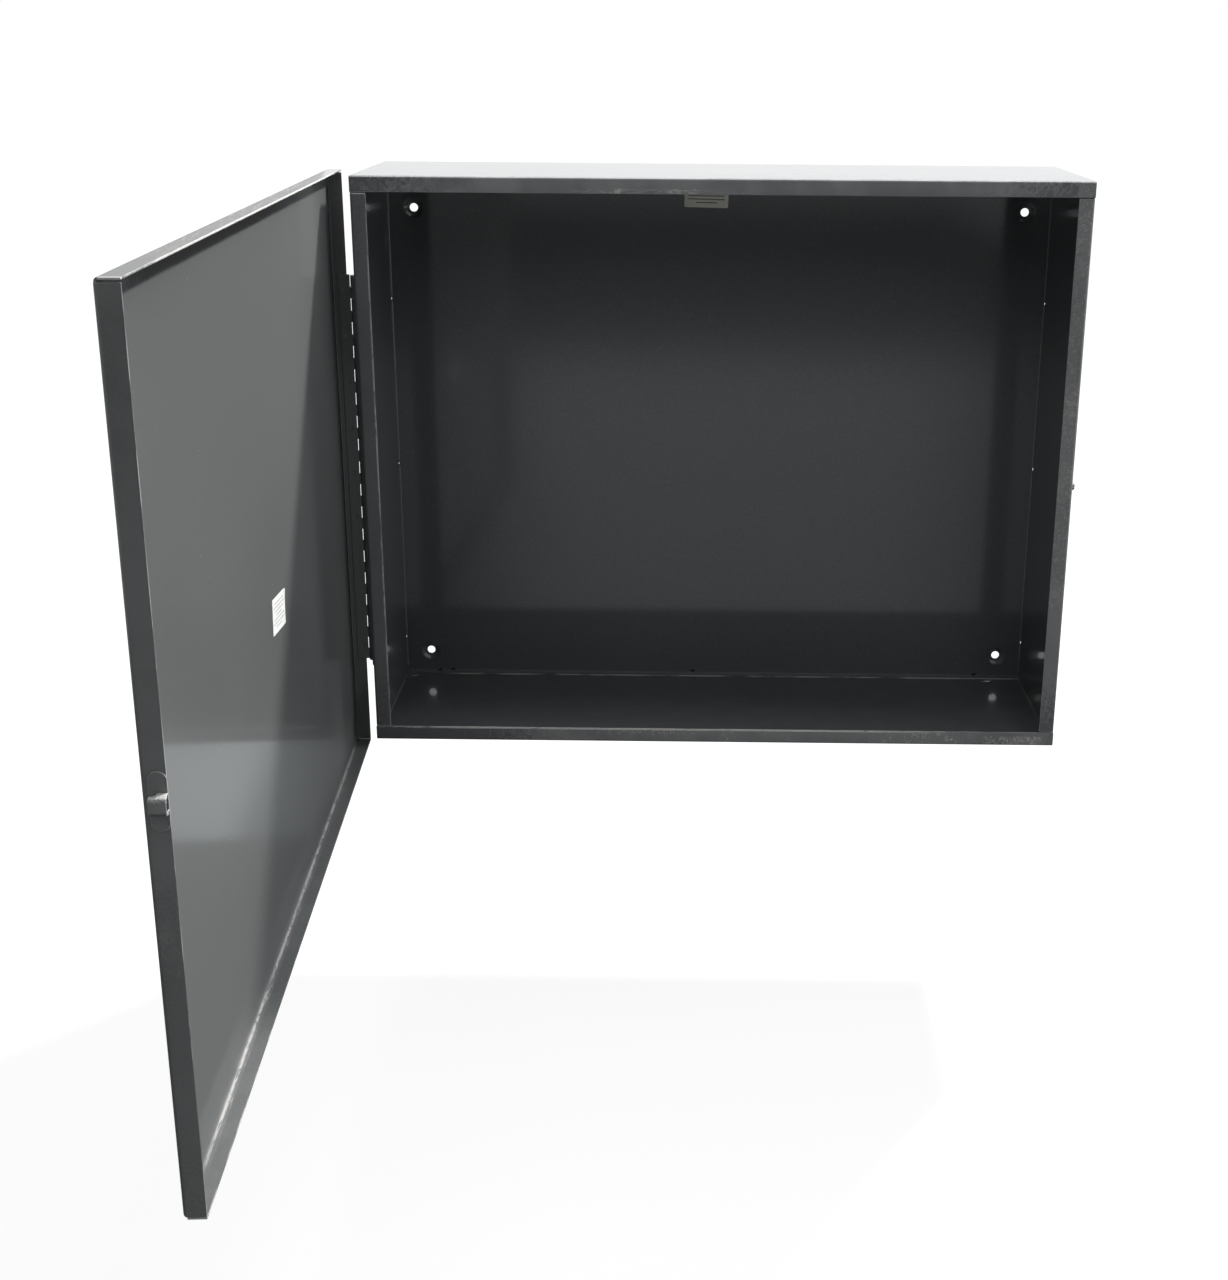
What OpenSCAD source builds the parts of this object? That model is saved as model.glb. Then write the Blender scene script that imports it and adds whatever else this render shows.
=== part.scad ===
// Wall-mounted sheet-steel combiner box with a full-size hinged door.
// X runs to the right, Y runs back to the wall and Z runs up, all in millimetres.
// The origin is the centre of the four wall holes, on the plane of the wall.
// The door is drawn shut first and is then swung to open_angle about its hinge pin.

/* [Box] */
// Overall width of the box
box_w = 760; // [500:1:1000]
// Overall height of the box
box_h = 624; // [420:1:900]
// Depth from the back panel's rear face to the front flange
box_d = 197; // [120:1:320]
// Thickness of the sheet steel
sheet = 1.5; // [1:0.1:2]
// Width of the return flange round the front opening
flange_w = 16.5; // [12:0.5:30]
// Inside radius of the folded corners
bend_r = 1.5; // [1:0.1:2]
// Open seam between neighbouring front flanges
flange_seam = 1; // [0.4:0.1:2]
// Inside radius of the back panel's top and bottom folds
back_bend_r = 3.5; // [2:0.5:5]
// Length of the back panel's short top and bottom legs
back_leg = 6.5; // [5.5:0.5:12]

/* [Wall holes] */
// Diameter of a wall hole
hole_d = 9.5; // [6:0.1:12]
// Distance from the sides of the box in to the wall holes
hole_inset = 30.5; // [25:0.5:80]
// Distance from the top of the box down to the upper wall holes
hole_below_top = 52; // [25:1:80]
// Distance from the bottom of the box up to the lower wall holes
hole_above_bottom = 30; // [25:1:80]
// Height of the pressed dimples that stand the box off the wall
dimple_h = 5; // [3:0.5:8]
// Diameter of a dimple at the back panel
dimple_d = 27; // [22:0.5:30]
// Diameter of a dimple's flat seat on the wall
dimple_seat_d = 15; // [13:0.5:18]

/* [Door] */
// Depth of the lip folded round the door
door_lip = 16.5; // [14:0.5:24]
// Gap between the shut door and the front flange
door_gap = 1; // [0.6:0.1:3]
// How far the door stands above the top of the box
door_over_top = 4; // [3:0.5:15]
// How far the door hangs below the bottom of the box
door_over_bottom = 13; // [3:0.5:20]
// Gap between the box and the lip on the latch side
latch_gap = 3; // [2:0.1:5]
// Open seam between the lower ends of the side lips and the bottom lip
corner_seam = 0.4; // [0.3:0.1:0.8]
// Angle that the door stands open
open_angle = 87; // [0:1:135]

/* [Hinge] */
// Diameter of the hinge pin
pin_d = 4.7; // [3:0.1:5]
// Radial clearance between the pin and the knuckles
pin_play = 0.05; // [0.02:0.01:0.1]
// Thickness of a hinge leaf
leaf_t = 1.5; // [1:0.1:2]
// How far a hinge leaf stops short of the box's folded corner
leaf_margin = 1.5; // [0.5:0.1:4]
// Length of one knuckle
knuckle_l = 12.7; // [8:0.1:16]
// Number of knuckles on the two leaves together
knuckle_n = 34; // [8:2:40]
// End play between neighbouring knuckles
knuckle_play = 0.3; // [0.1:0.05:0.6]
// Clearance between the turning knuckles and the sheets beside them
barrel_play = 0.3; // [0.2:0.05:1]
// Distance between the barrel and the edge of the lip
lip_to_barrel = 4.2; // [2.5:0.1:6]
// Open slit between a knuckle and the notch in the other leaf
notch_gap = 1.8; // [1:0.1:2.4]
// Height of the hinge's middle above the origin
hinge_z = 3; // [-20:1:20]

/* [Pull loop] */
// Height of the rounded plate that carries the loop
latch_plate_h = 41.5; // [30:0.5:60]
// Width of the rounded plate that carries the loop
latch_plate_w = 12.4; // [11.5:0.1:13]
// Thickness of the plate and of the loop
loop_t = 1.5; // [1:0.1:2]
// How far the loop stands off the lip
loop_reach = 10.7; // [8:0.1:15]
// Outside height of the loop
loop_h = 12.7; // [10:0.1:20]
// Width of the loop's face
loop_w = 11.5; // [8:0.1:12]
// Width of the necks that join the loop to its plate
loop_neck_w = 7; // [5:0.1:7.5]
// How far the loop's face sits back from the middle of the plate
loop_set_back = 1.2; // [0:0.1:1.5]

/* [Snap catch] */
// Diameter of the catch button
button_d = 8.4; // [6:0.1:8.4]
// How far the button reaches into the hole in the door's lip
button_bite = 1; // [0.4:0.1:1.4]
// Height of the button's rounded end
button_dome = 2.4; // [1.5:0.1:3]
// Collar that keeps the button behind the wall, beyond its radius
button_collar = 1.1; // [0.8:0.1:1.1]
// Thickness of the button's collar
collar_t = 1.5; // [1:0.1:2]
// Clearance round the button in the wall of the box
button_play = 0.3; // [0.2:0.05:0.6]
// Clearance round the button in the door's lip
lip_hole_play = 0.55; // [0.4:0.05:0.6]
// Thickness of the catch's leaf spring
spring_t = 0.6; // [0.4:0.1:1]
// Width of the catch's leaf spring
spring_w = 8; // [6:0.1:9]
// Length of the leaf spring below the button
spring_l = 58; // [48:1:80]
// Diameter of a catch rivet
rivet_d = 3.2; // [2:0.1:4]
// Height of a catch rivet's outer head
rivet_head_h = 1.2; // [0.8:0.1:1.6]
// Clearance round a rivet in its holes
rivet_play = 0.1; // [0.05:0.05:0.2]

/* [Labels] */
// Width of the label on the back panel
back_label_w = 50; // [30:1:80]
// Height of the label on the back panel
back_label_h = 30; // [20:1:40]
// Width of the label on the door
door_label_w = 51.5; // [30:0.5:80]
// Height of the label on the door
door_label_h = 32; // [20:0.5:60]
// Lean of the label on the door
door_label_lean = 6.3; // [-10:0.1:10]
// Thickness of a label
label_t = 0.2; // [0.1:0.05:0.4]

/* [Hidden] */
$fn = 96;

paint = [0.25, 0.26, 0.27];
bare_steel = [0.62, 0.62, 0.60];
label_white = [0.92, 0.92, 0.90];
label_foil = [0.68, 0.64, 0.57];
cut = 1;

// Planes of the box
back_y = -dimple_h;
back_in_y = back_y - sheet;
front_y = back_y - box_d;
side_x = box_w / 2;
hole_span_x = box_w - 2 * hole_inset;
hole_span_z = box_h - hole_below_top - hole_above_bottom;
top_z = hole_span_z / 2 + hole_below_top;
bottom_z = top_z - box_h;
bend_out = bend_r + sheet;

// Planes of the hinge
barrel_r = pin_d / 2 + pin_play + leaf_t;
pin_x = -side_x - barrel_r - barrel_play;
hinge_len = knuckle_l * knuckle_n;
hinge_top_z = hinge_z + hinge_len / 2;

// Planes of the shut door
door_in_y = front_y - door_gap;
door_out_y = door_in_y - sheet;
lip_y = door_out_y + door_lip;
pin_y = lip_y + lip_to_barrel + barrel_r;
leaf_w = pin_y - front_y - bend_out - leaf_margin;
hinge_lip_in_x = pin_x - barrel_r - barrel_play;
hinge_lip_out_x = hinge_lip_in_x - sheet;
latch_lip_in_x = side_x + latch_gap;
latch_lip_out_x = latch_lip_in_x + sheet;
door_w = latch_lip_out_x - hinge_lip_out_x;
door_x = (latch_lip_out_x + hinge_lip_out_x) / 2;
door_top_z = top_z + door_over_top;
door_bottom_z = bottom_z - door_over_bottom;

// Places of the catch and the pull loop
wall_in_x = side_x - sheet;
button_r = button_d / 2;
latch_y = front_y + bend_out + button_r + button_collar;
collar_x = wall_in_x - button_play - collar_t;
button_tip_x = latch_lip_in_x + button_bite;
dome_r = (pow(button_r, 2) + pow(button_dome, 2)) / (2 * button_dome);
rivet_z = [-spring_l + 5, -spring_l + 13];
spring_foot_z = -spring_l + 18;

// Places of the labels, across and up
back_label_pos = [-14.4, top_z - 49];
back_label_lean = -1;
door_label_pos = [-28.6, -26];
label_corner = 1.5;

// Weld tack gaps along the rear edge of each side panel, measured up from the bottom of the box
tack_r = 1.2;
tack_z = [49, 270, 468];

// Draws a 2D shape in Y and Z and extrudes it across the box, centred on X.
module along_x(length) {
    rotate([90, 0, 90]) linear_extrude(length, center = true) children();
}

// Turns a 2D shape, or a solid standing on Z, so that its Z points to +X.
module facing_x() {
    rotate([90, 0, 90]) children();
}

// A quarter of a ring in the first quadrant, of inside radius r and thickness t.
module quarter_ring(r, t) {
    intersection() {
        difference() {
            circle(r + t);
            circle(r);
        }
        square(r + t);
    }
}

// A folded strip in 2D with its outer corner at the origin and its legs along +X and +Y.
module angle_profile(leg_x, leg_y, r = bend_r, t = sheet) {
    translate([r + t, 0]) square([leg_x - r - t, t]);
    translate([0, r + t]) square([t, leg_y - r - t]);
    translate([r + t, r + t]) rotate(180) quarter_ring(r, t);
}

// Swings what is drawn for the shut door to the angle that it stands open.
module opened() {
    translate([pin_x, pin_y, 0]) rotate(-open_angle) translate([-pin_x, -pin_y, 0]) children();
}

// Puts a copy of its children at each wall hole.
module at_wall_holes() {
    for (sx = [-1, 1], sz = [-1, 1])
        translate([sx * hole_span_x / 2, 0, sz * hole_span_z / 2]) children();
}

// A cone along +Y from y0, of radius r0 there and r1 at y1.
module cone_y(y0, y1, r0, r1) {
    translate([0, y0, 0]) rotate([-90, 0, 0]) cylinder(h = y1 - y0, r1 = r0, r2 = r1);
}

// The flat back, a very shallow channel with a short leg at top and bottom and four pressed dimples.
module back_panel() {
    inner_h = box_h - 2 * sheet;
    dimple_r = dimple_d / 2;
    seat_r = dimple_seat_d / 2;
    color(paint) difference() {
        union() {
            along_x(box_w - 2 * sheet) {
                translate([back_y, top_z - sheet]) rotate(180)
                    angle_profile(back_leg, inner_h / 2, back_bend_r);
                translate([back_y, bottom_z + sheet]) mirror([1, 0])
                    angle_profile(back_leg, inner_h / 2, back_bend_r);
            }
            at_wall_holes() cone_y(back_in_y, 0, dimple_r, seat_r);
        }
        at_wall_holes() {
            cone_y(back_in_y - cut, back_in_y, dimple_r - sheet, dimple_r - sheet);
            cone_y(back_in_y, -sheet, dimple_r - sheet, seat_r - sheet);
            cone_y(-sheet - cut, cut, hole_d / 2, hole_d / 2);
        }
    }
}

// The roof, with its front edge folded down into the flange.
module top_panel() {
    color(paint) along_x(box_w)
        translate([front_y, top_z]) mirror([0, 1]) angle_profile(box_d, flange_w);
}

// The floor, with its front edge folded up into the flange.
module bottom_panel() {
    color(paint) along_x(box_w)
        translate([front_y, bottom_z]) angle_profile(box_d, flange_w);
}

// A left side wall between roof and floor, with its front edge folded in between their flanges.
module side_wall() {
    flange_z0 = bottom_z + flange_w + flange_seam;
    flange_z1 = top_z - flange_w - flange_seam;
    difference() {
        union() {
            translate([-side_x, front_y + bend_out, bottom_z + sheet])
                cube([sheet, box_d - bend_out, box_h - 2 * sheet]);
            translate([-side_x, front_y, flange_z0]) linear_extrude(flange_z1 - flange_z0)
                angle_profile(flange_w, bend_out + bend_r);
        }
        for (z = tack_z)
            translate([-side_x - cut, back_in_y, bottom_z + z]) {
                facing_x() cylinder(h = sheet + 2 * cut, r = tack_r);
                translate([0, 0, -tack_r]) cube([sheet + 2 * cut, back_y - back_in_y + cut, 2 * tack_r]);
            }
    }
}

module left_side_panel() {
    color(paint) side_wall();
}

// The right side wall, with the catch's button hole and rivet holes.
module right_side_panel() {
    color(paint) difference() {
        mirror([1, 0, 0]) side_wall();
        translate([wall_in_x - cut, latch_y, 0]) facing_x()
            cylinder(h = sheet + 2 * cut, r = button_r + button_play);
        for (z = rivet_z)
            translate([wall_in_x - cut, latch_y, z]) facing_x()
                cylinder(h = sheet + 2 * cut, r = rivet_d / 2 + rivet_play);
    }
}

// One leaf of the hinge in the shut position, lying against the sheet on the side that side names.
// A leaf on side 1 lies on the box and one on side -1 on the door's lip.
// It keeps its own knuckles and is notched for the other leaf's, which start at knuckle number first_notch.
module hinge_leaf(side, first_notch) {
    notch_r = barrel_r + notch_gap;
    color(paint) difference() {
        translate([pin_x, pin_y, hinge_top_z - hinge_len]) linear_extrude(hinge_len) difference() {
            union() {
                circle(barrel_r);
                translate([side > 0 ? barrel_r + barrel_play - leaf_t : -barrel_r - barrel_play, -leaf_w])
                    square([leaf_t, leaf_w]);
            }
            circle(pin_d / 2 + pin_play);
        }
        for (i = [first_notch : 2 : knuckle_n - 1])
            translate([pin_x - notch_r, pin_y - notch_r, hinge_top_z - (i + 1) * knuckle_l - knuckle_play / 2])
                cube([2 * notch_r, 2 * notch_r, knuckle_l + knuckle_play]);
    }
}

module box_hinge_leaf() {
    hinge_leaf(1, 1);
}

module door_hinge_leaf() {
    opened() hinge_leaf(-1, 0);
}

module hinge_pin() {
    color(bare_steel) translate([pin_x, pin_y, hinge_top_z - hinge_len]) cylinder(h = hinge_len, d = pin_d);
}

// The door, a shallow pan folded from one sheet, with open notches at its upper corners.
module door_panel() {
    door_h = door_top_z - door_bottom_z;
    color(paint) opened() difference() {
        union() {
            translate([hinge_lip_out_x + bend_out, door_out_y, door_bottom_z + bend_out])
                cube([door_w - 2 * bend_out, sheet, door_h - 2 * bend_out]);
            translate([door_x, 0, 0]) along_x(door_w - 2 * bend_out) {
                translate([door_out_y, door_top_z]) mirror([0, 1]) angle_profile(door_lip, bend_out + bend_r);
                translate([door_out_y, door_bottom_z]) angle_profile(door_lip, bend_out + bend_r);
            }
            for (s = [-1, 1])
                translate([0, 0, door_bottom_z + bend_out]) linear_extrude(door_h - 2 * bend_out)
                    translate([door_x + s * door_w / 2, door_out_y]) mirror([s > 0 ? 1 : 0, 0])
                        angle_profile(bend_out + bend_r, door_lip);
            door_corner_caps();
            door_lip_feet();
        }
        translate([latch_lip_in_x - cut, latch_y, 0]) facing_x()
            cylinder(h = sheet + 2 * cut, r = button_r + lip_hole_play);
    }
}

// The ends of the top and bottom lips, which run on over the ends of the side lips.
module door_corner_caps() {
    cap_y = door_out_y + bend_out;
    for (s = [-1, 1], z = [door_bottom_z, door_top_z - sheet])
        translate([door_x + s * (door_w / 2 - bend_out / 2) - bend_out / 2, cap_y, z])
            cube([bend_out, door_lip - bend_out, sheet]);
}

// The lower ends of the side lips, which reach down almost to the bottom lip.
module door_lip_feet() {
    foot_z = door_bottom_z + sheet + corner_seam;
    for (s = [-1, 1])
        translate([door_x + s * (door_w - sheet) / 2 - sheet / 2, door_out_y + bend_out, foot_z])
            cube([sheet, door_lip - bend_out, bend_out - corner_seam]);
}

// The rounded plate on the door's latch lip, with a hole over the catch's button.
module latch_plate() {
    straight_h = latch_plate_h - latch_plate_w;
    color(paint) opened() translate([latch_lip_out_x, latch_y, 0]) facing_x() linear_extrude(loop_t) difference() {
        union() {
            square([latch_plate_w, straight_h], center = true);
            for (s = [-1, 1]) translate([0, s * straight_h / 2]) circle(latch_plate_w / 2);
        }
        circle(button_r + lip_hole_play);
    }
}

// The loop that a finger pulls: a strap folded to a U, its two legs narrowed to necks where they meet the plate.
module pull_loop() {
    leg = loop_reach - loop_t;
    neck_y = latch_plate_w / 2 - loop_neck_w / 2;
    color(paint) opened() translate([latch_lip_out_x + loop_t, latch_y, 0]) intersection() {
        translate([0, loop_set_back, 0]) rotate([90, 0, 0]) linear_extrude(loop_w, center = true) {
            translate([leg, -loop_h / 2]) rotate(90) angle_profile(loop_h / 2, leg, bend_r, loop_t);
            translate([leg, loop_h / 2]) rotate(180) angle_profile(leg, loop_h / 2, bend_r, loop_t);
        }
        union() {
            translate([leg - bend_r - 2 * loop_t, loop_set_back - loop_w / 2, -loop_h])
                cube([leg, loop_w, 2 * loop_h]);
            translate([-cut, neck_y - loop_neck_w / 2, -loop_h]) cube([leg, loop_neck_w, 2 * loop_h]);
        }
    }
}

// The catch's button: a collar behind the wall, a shank through it and a domed end.
module catch_button() {
    shank_l = button_tip_x - button_dome - collar_x;
    color(bare_steel) translate([collar_x, latch_y, 0]) facing_x() {
        cylinder(h = collar_t, r = button_r + button_collar);
        cylinder(h = shank_l, r = button_r);
        intersection() {
            translate([0, 0, shank_l + button_dome - dome_r]) sphere(dome_r);
            cylinder(h = shank_l + button_dome + cut, r = button_r);
        }
    }
}

// The leaf spring, flat on the wall at its riveted foot and standing off behind the button.
module catch_spring() {
    outer = [
        [wall_in_x, -spring_l], [wall_in_x, spring_foot_z],
        [collar_x, -button_d], [collar_x, button_r + button_collar],
    ];
    inner = [for (i = [3 : -1 : 0]) outer[i] - [spring_t, 0]];
    color(bare_steel) difference() {
        translate([0, latch_y, 0]) rotate([90, 0, 0]) linear_extrude(spring_w, center = true)
            polygon(concat(outer, inner));
        for (z = rivet_z)
            translate([wall_in_x - spring_t - cut, latch_y, z]) facing_x()
                cylinder(h = spring_t + 2 * cut, r = rivet_d / 2 + rivet_play);
    }
}

// The two rivets that hold the leaf spring to the wall.
module catch_rivets() {
    grip = sheet + spring_t;
    head_r = rivet_d;
    color(bare_steel) for (z = rivet_z)
        translate([side_x, latch_y, z]) facing_x() {
            cylinder(h = rivet_head_h, r1 = head_r, r2 = head_r * 0.7);
            translate([0, 0, -grip - rivet_head_h / 2]) cylinder(h = grip + rivet_head_h / 2, d = rivet_d);
            translate([0, 0, -grip - rivet_head_h]) cylinder(h = rivet_head_h, r = head_r * 0.8);
        }
}

// A rounded rectangle, centred on the origin.
module label_shape(w, h) {
    square([w, h - 2 * label_corner], center = true);
    square([w - 2 * label_corner, h], center = true);
    for (sx = [-1, 1], sy = [-1, 1])
        translate([sx * (w / 2 - label_corner), sy * (h / 2 - label_corner)]) circle(label_corner);
}

// The small label high on the back panel.
module back_label() {
    color(label_foil) translate([back_label_pos[0], back_in_y, back_label_pos[1] + back_label_h / 2])
        rotate([90, -back_label_lean, 0]) linear_extrude(label_t) label_shape(back_label_w, back_label_h);
}

// The small label on the inside of the door.
module door_label() {
    color(label_white) opened() translate([door_label_pos[0], door_in_y + label_t, door_label_pos[1]])
        rotate([90, -door_label_lean, 0]) linear_extrude(label_t) label_shape(door_label_w, door_label_h);
}

back_panel();
top_panel();
bottom_panel();
left_side_panel();
right_side_panel();
box_hinge_leaf();
hinge_pin();
catch_button();
catch_spring();
catch_rivets();
back_label();
door_panel();
door_hinge_leaf();
latch_plate();
pull_loop();
door_label();
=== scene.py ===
# %% [markdown]
# # A steel wall enclosure with its door open
# The real object is a shallow box of folded sheet steel under a slate-grey powder coat.
# Its door is a pan of the same sheet on a long continuous hinge, and it stands open.
# The CAD model is the fixed frame here: it gives every size and every joint, and this
# lesson gives the looks: rounded cut edges, curled hinge knuckles, paint, labels and light.

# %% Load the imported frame
import math

import bmesh
import bpy
import numpy as np
from mathutils import Matrix, Vector


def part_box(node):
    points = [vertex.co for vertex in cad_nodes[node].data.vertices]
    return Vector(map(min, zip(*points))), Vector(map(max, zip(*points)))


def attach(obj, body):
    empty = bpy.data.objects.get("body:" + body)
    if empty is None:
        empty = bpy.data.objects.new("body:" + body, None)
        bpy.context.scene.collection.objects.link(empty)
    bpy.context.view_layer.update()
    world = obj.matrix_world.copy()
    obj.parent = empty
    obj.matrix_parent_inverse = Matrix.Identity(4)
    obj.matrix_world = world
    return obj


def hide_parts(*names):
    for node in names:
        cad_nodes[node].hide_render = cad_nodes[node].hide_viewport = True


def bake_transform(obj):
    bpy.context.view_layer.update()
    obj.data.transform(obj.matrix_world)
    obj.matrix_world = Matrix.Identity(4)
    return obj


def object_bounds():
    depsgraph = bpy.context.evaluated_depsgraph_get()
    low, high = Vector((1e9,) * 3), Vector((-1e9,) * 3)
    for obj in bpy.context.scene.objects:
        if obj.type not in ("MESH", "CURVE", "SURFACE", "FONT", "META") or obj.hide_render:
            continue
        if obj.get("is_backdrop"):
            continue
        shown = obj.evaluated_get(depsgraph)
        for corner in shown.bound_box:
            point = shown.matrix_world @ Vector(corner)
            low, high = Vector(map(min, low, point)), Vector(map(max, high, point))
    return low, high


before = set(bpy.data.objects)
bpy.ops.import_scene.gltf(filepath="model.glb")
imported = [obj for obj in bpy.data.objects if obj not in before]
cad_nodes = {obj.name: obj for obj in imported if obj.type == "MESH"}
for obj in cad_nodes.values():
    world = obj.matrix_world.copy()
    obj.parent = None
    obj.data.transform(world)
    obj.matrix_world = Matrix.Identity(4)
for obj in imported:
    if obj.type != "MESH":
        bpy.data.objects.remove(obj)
cad_low, cad_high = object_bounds()
MM = 0.001
print(len(cad_nodes), "nodes, box in mm", [round((b - a) / MM) for a, b in zip(cad_low, cad_high)])

# %% [markdown]
# ## Camera
# The photograph is taken from a little above the box, looking slightly down, and its
# optical centre is off the middle of the frame. A shifted lens keeps the uprights as they
# lean in the photograph. The numbers come from a fit of the box's corners, holes and door.

# %% Camera at the photograph's viewing angle
PHOTO_W, PHOTO_H = 1228, 1280
FOCAL_PX, CENTRE_PX = 1596.0, (683.5, 508.3)
EYE = Vector((-25.97, -1849.96, 459.62)) * MM
LOOK_DOWN, LOOK_ASIDE, LEAN = 0.28671, 0.00649, 0.00758

lens = bpy.data.cameras.new("photo_lens")
lens.sensor_width = 36.0
lens.lens = FOCAL_PX * lens.sensor_width / max(PHOTO_W, PHOTO_H)
lens.shift_x = (PHOTO_W / 2 - CENTRE_PX[0]) / max(PHOTO_W, PHOTO_H)
lens.shift_y = (CENTRE_PX[1] - PHOTO_H / 2) / max(PHOTO_W, PHOTO_H)
camera = bpy.data.objects.new("photo_camera", lens)
turn = (
    Matrix.Rotation(LOOK_ASIDE, 4, "Z")
    @ Matrix.Rotation(math.pi / 2 - LOOK_DOWN, 4, "X")
    @ Matrix.Rotation(LEAN, 4, "Z")
)
camera.matrix_world = Matrix.Translation(EYE) @ turn
bpy.context.scene.collection.objects.link(camera)
bpy.context.scene.camera = camera
print("lens", round(lens.lens, 2), "mm, shift", round(lens.shift_x, 4), round(lens.shift_y, 4))

# %% [markdown]
# ## Node helpers
# Every finish below is a small tree of shader nodes. Writing each node by hand is long, so
# one helper adds a node and fills its inputs: a socket is linked, anything else is a value.

# %% Helpers for node trees
def put(tree, kind, inputs=None, **settings):
    node = tree.nodes.new(kind)
    for name, value in settings.items():
        setattr(node, name, value)
    for name, value in (inputs or {}).items():
        if isinstance(value, bpy.types.NodeSocket):
            tree.links.new(value, node.inputs[name])
        else:
            node.inputs[name].default_value = value
    return node


def maths(tree, operation, a, b=0.0, clamp=False):
    node = put(tree, "ShaderNodeMath", {0: a, 1: b}, operation=operation, use_clamp=clamp)
    return node.outputs[0]


def ramp(tree, value, low, high, to_low=0.0, to_high=1.0):
    spec = {"Value": value, "From Min": low, "From Max": high, "To Min": to_low, "To Max": to_high}
    return put(tree, "ShaderNodeMapRange", spec, interpolation_type="SMOOTHSTEP").outputs[0]


def between(tree, factor, below, above):
    return put(tree, "ShaderNodeMix", {0: factor, 2: below, 3: above}).outputs[0]


def tinted(tree, factor, below, above):
    node = put(tree, "ShaderNodeMix", {0: factor, 6: below, 7: above}, data_type="RGBA")
    return node.outputs[2]


def noise(tree, place, scale, detail, **more):
    spec = {"Vector": place, "Scale": scale, "Detail": detail, **more}
    return put(tree, "ShaderNodeTexNoise", spec).outputs[0]


def vectors(tree, operation, *values):
    node = put(tree, "ShaderNodeVectorMath", dict(enumerate(values)), operation=operation)
    return node.outputs[0]


def new_group(name, inputs, outputs):
    tree = bpy.data.node_groups.new(name, "ShaderNodeTree")
    for label, kind, value in inputs:
        socket = tree.interface.new_socket(label, in_out="INPUT", socket_type="NodeSocket" + kind)
        socket.default_value = value
    for label in outputs:
        tree.interface.new_socket(label, in_out="OUTPUT", socket_type="NodeSocketFloat")
    return tree, tree.nodes.new("NodeGroupInput").outputs, tree.nodes.new("NodeGroupOutput").inputs


print("node helpers ready")

# %% [markdown]
# ## Stage and light
# The light in the photograph comes from above and a little behind the box's front: it is
# bright on the inside of the door, where the box throws a slanted shadow, and hardly gets
# into the box. One small lamp high behind does that, and it is kept out of the paint's
# mirror images. A wide one overhead brightens what looks up, and a faint one behind draws
# the far edges. The world fills the rest: white to the camera, and dimmer in front, so that
# the back of the box stays dark.

# %% World: white to the camera, dimmer behind it
world = bpy.data.worlds.new("studio")
bpy.context.scene.world = world
world.use_nodes = True
sky = world.node_tree
sky.nodes.clear()
FRONT_GLOSS, BACK_GLOSS = 0.12, 0.56
FRONT_LOW, FRONT_BAND, FRONT_HIGH, FRONT_SIDES = 0.10, 1.50, 0.35, 0.12
BACK_FILL, SIDE_FILL, SIDE_FILL_IN_FRONT = 0.45, 2.70, 0.1
# Where each change starts and ends, as a share of the way along X, Y or Z.
GLOSS_TURN, FILL_TURN = (-0.75, 0.1), (-0.5, 0.3)
BAND_FOOT, BAND_TOP, BAND_SIDE, BAND_SHIFT = (0.25, 0.45), (0.65, 0.85), (0.2, 0.5), 0.05
SIDE_START, SIDE_TURN = (0.6, 0.95), (-0.55, -0.2)
way = put(sky, "ShaderNodeTexCoord").outputs["Generated"]
aside, depth, height = put(sky, "ShaderNodeSeparateXYZ", {0: way}).outputs
rays = put(sky, "ShaderNodeLightPath").outputs
mirror_ray = maths(sky, "MAXIMUM", rays["Is Glossy Ray"], rays["Is Transmission Ray"])
gloss = ramp(sky, depth, *GLOSS_TURN, FRONT_GLOSS, BACK_GLOSS)
rise = ramp(sky, height, *BAND_FOOT, FRONT_LOW, FRONT_BAND)
front = between(sky, ramp(sky, height, *BAND_TOP), rise, FRONT_HIGH)
centred = maths(sky, "ABSOLUTE", maths(sky, "ADD", aside, BAND_SHIFT))
front = maths(sky, "MULTIPLY", front, ramp(sky, centred, *BAND_SIDE, 1.0, FRONT_SIDES))
fill = between(sky, ramp(sky, depth, *FILL_TURN), front, BACK_FILL)
sides = maths(
    sky, "MULTIPLY", ramp(sky, aside, *SIDE_START, 0.0, SIDE_FILL),
    ramp(sky, depth, *SIDE_TURN, SIDE_FILL_IN_FRONT, 1.0),
)
fill = maths(sky, "ADD", fill, sides)
unseen = between(sky, mirror_ray, fill, gloss)
level = between(sky, rays["Is Camera Ray"], unseen, 1.0)
backdrop = put(sky, "ShaderNodeBackground", {"Color": (1, 1, 1, 1), "Strength": level})
put(sky, "ShaderNodeOutputWorld", {"Surface": backdrop.outputs[0]})
print("world fill in front", FRONT_LOW, "to", FRONT_BAND, "behind", BACK_FILL)

# %% [markdown]
# The floor is nearly white to the camera and keeps the object's shadow. The paint mirrors
# it, and a plain white floor would fill the whole box with its image. So a mirror image
# sees another floor, which is not plain: it has lighter and darker stretches, set by
# comparison with the photograph. A light one lies in front of the box, a dark one under it,
# and a light one behind, which the door shows as its pale patch. They belong to this stage
# and not to the paint, so the object looks different on another one. From below the floor
# is clear, so that the underside can be looked at.

# %% Floor sheet
FLOOR_DROP, FLOOR_REACH = 0.30, 14.0
floor_mesh = bpy.data.meshes.new("floor")
floor_z = cad_low.z - FLOOR_DROP
floor_corners = [
    (x * FLOOR_REACH, y * FLOOR_REACH, floor_z) for x, y in ((-1, -1), (1, -1), (1, 1), (-1, 1))
]
floor_mesh.from_pydata(floor_corners, [], [(0, 1, 2, 3)])
floor = bpy.data.objects.new("floor", floor_mesh)
bpy.context.scene.collection.objects.link(floor)
floor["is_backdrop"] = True
print("floor at z", round(floor_z, 3))

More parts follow.
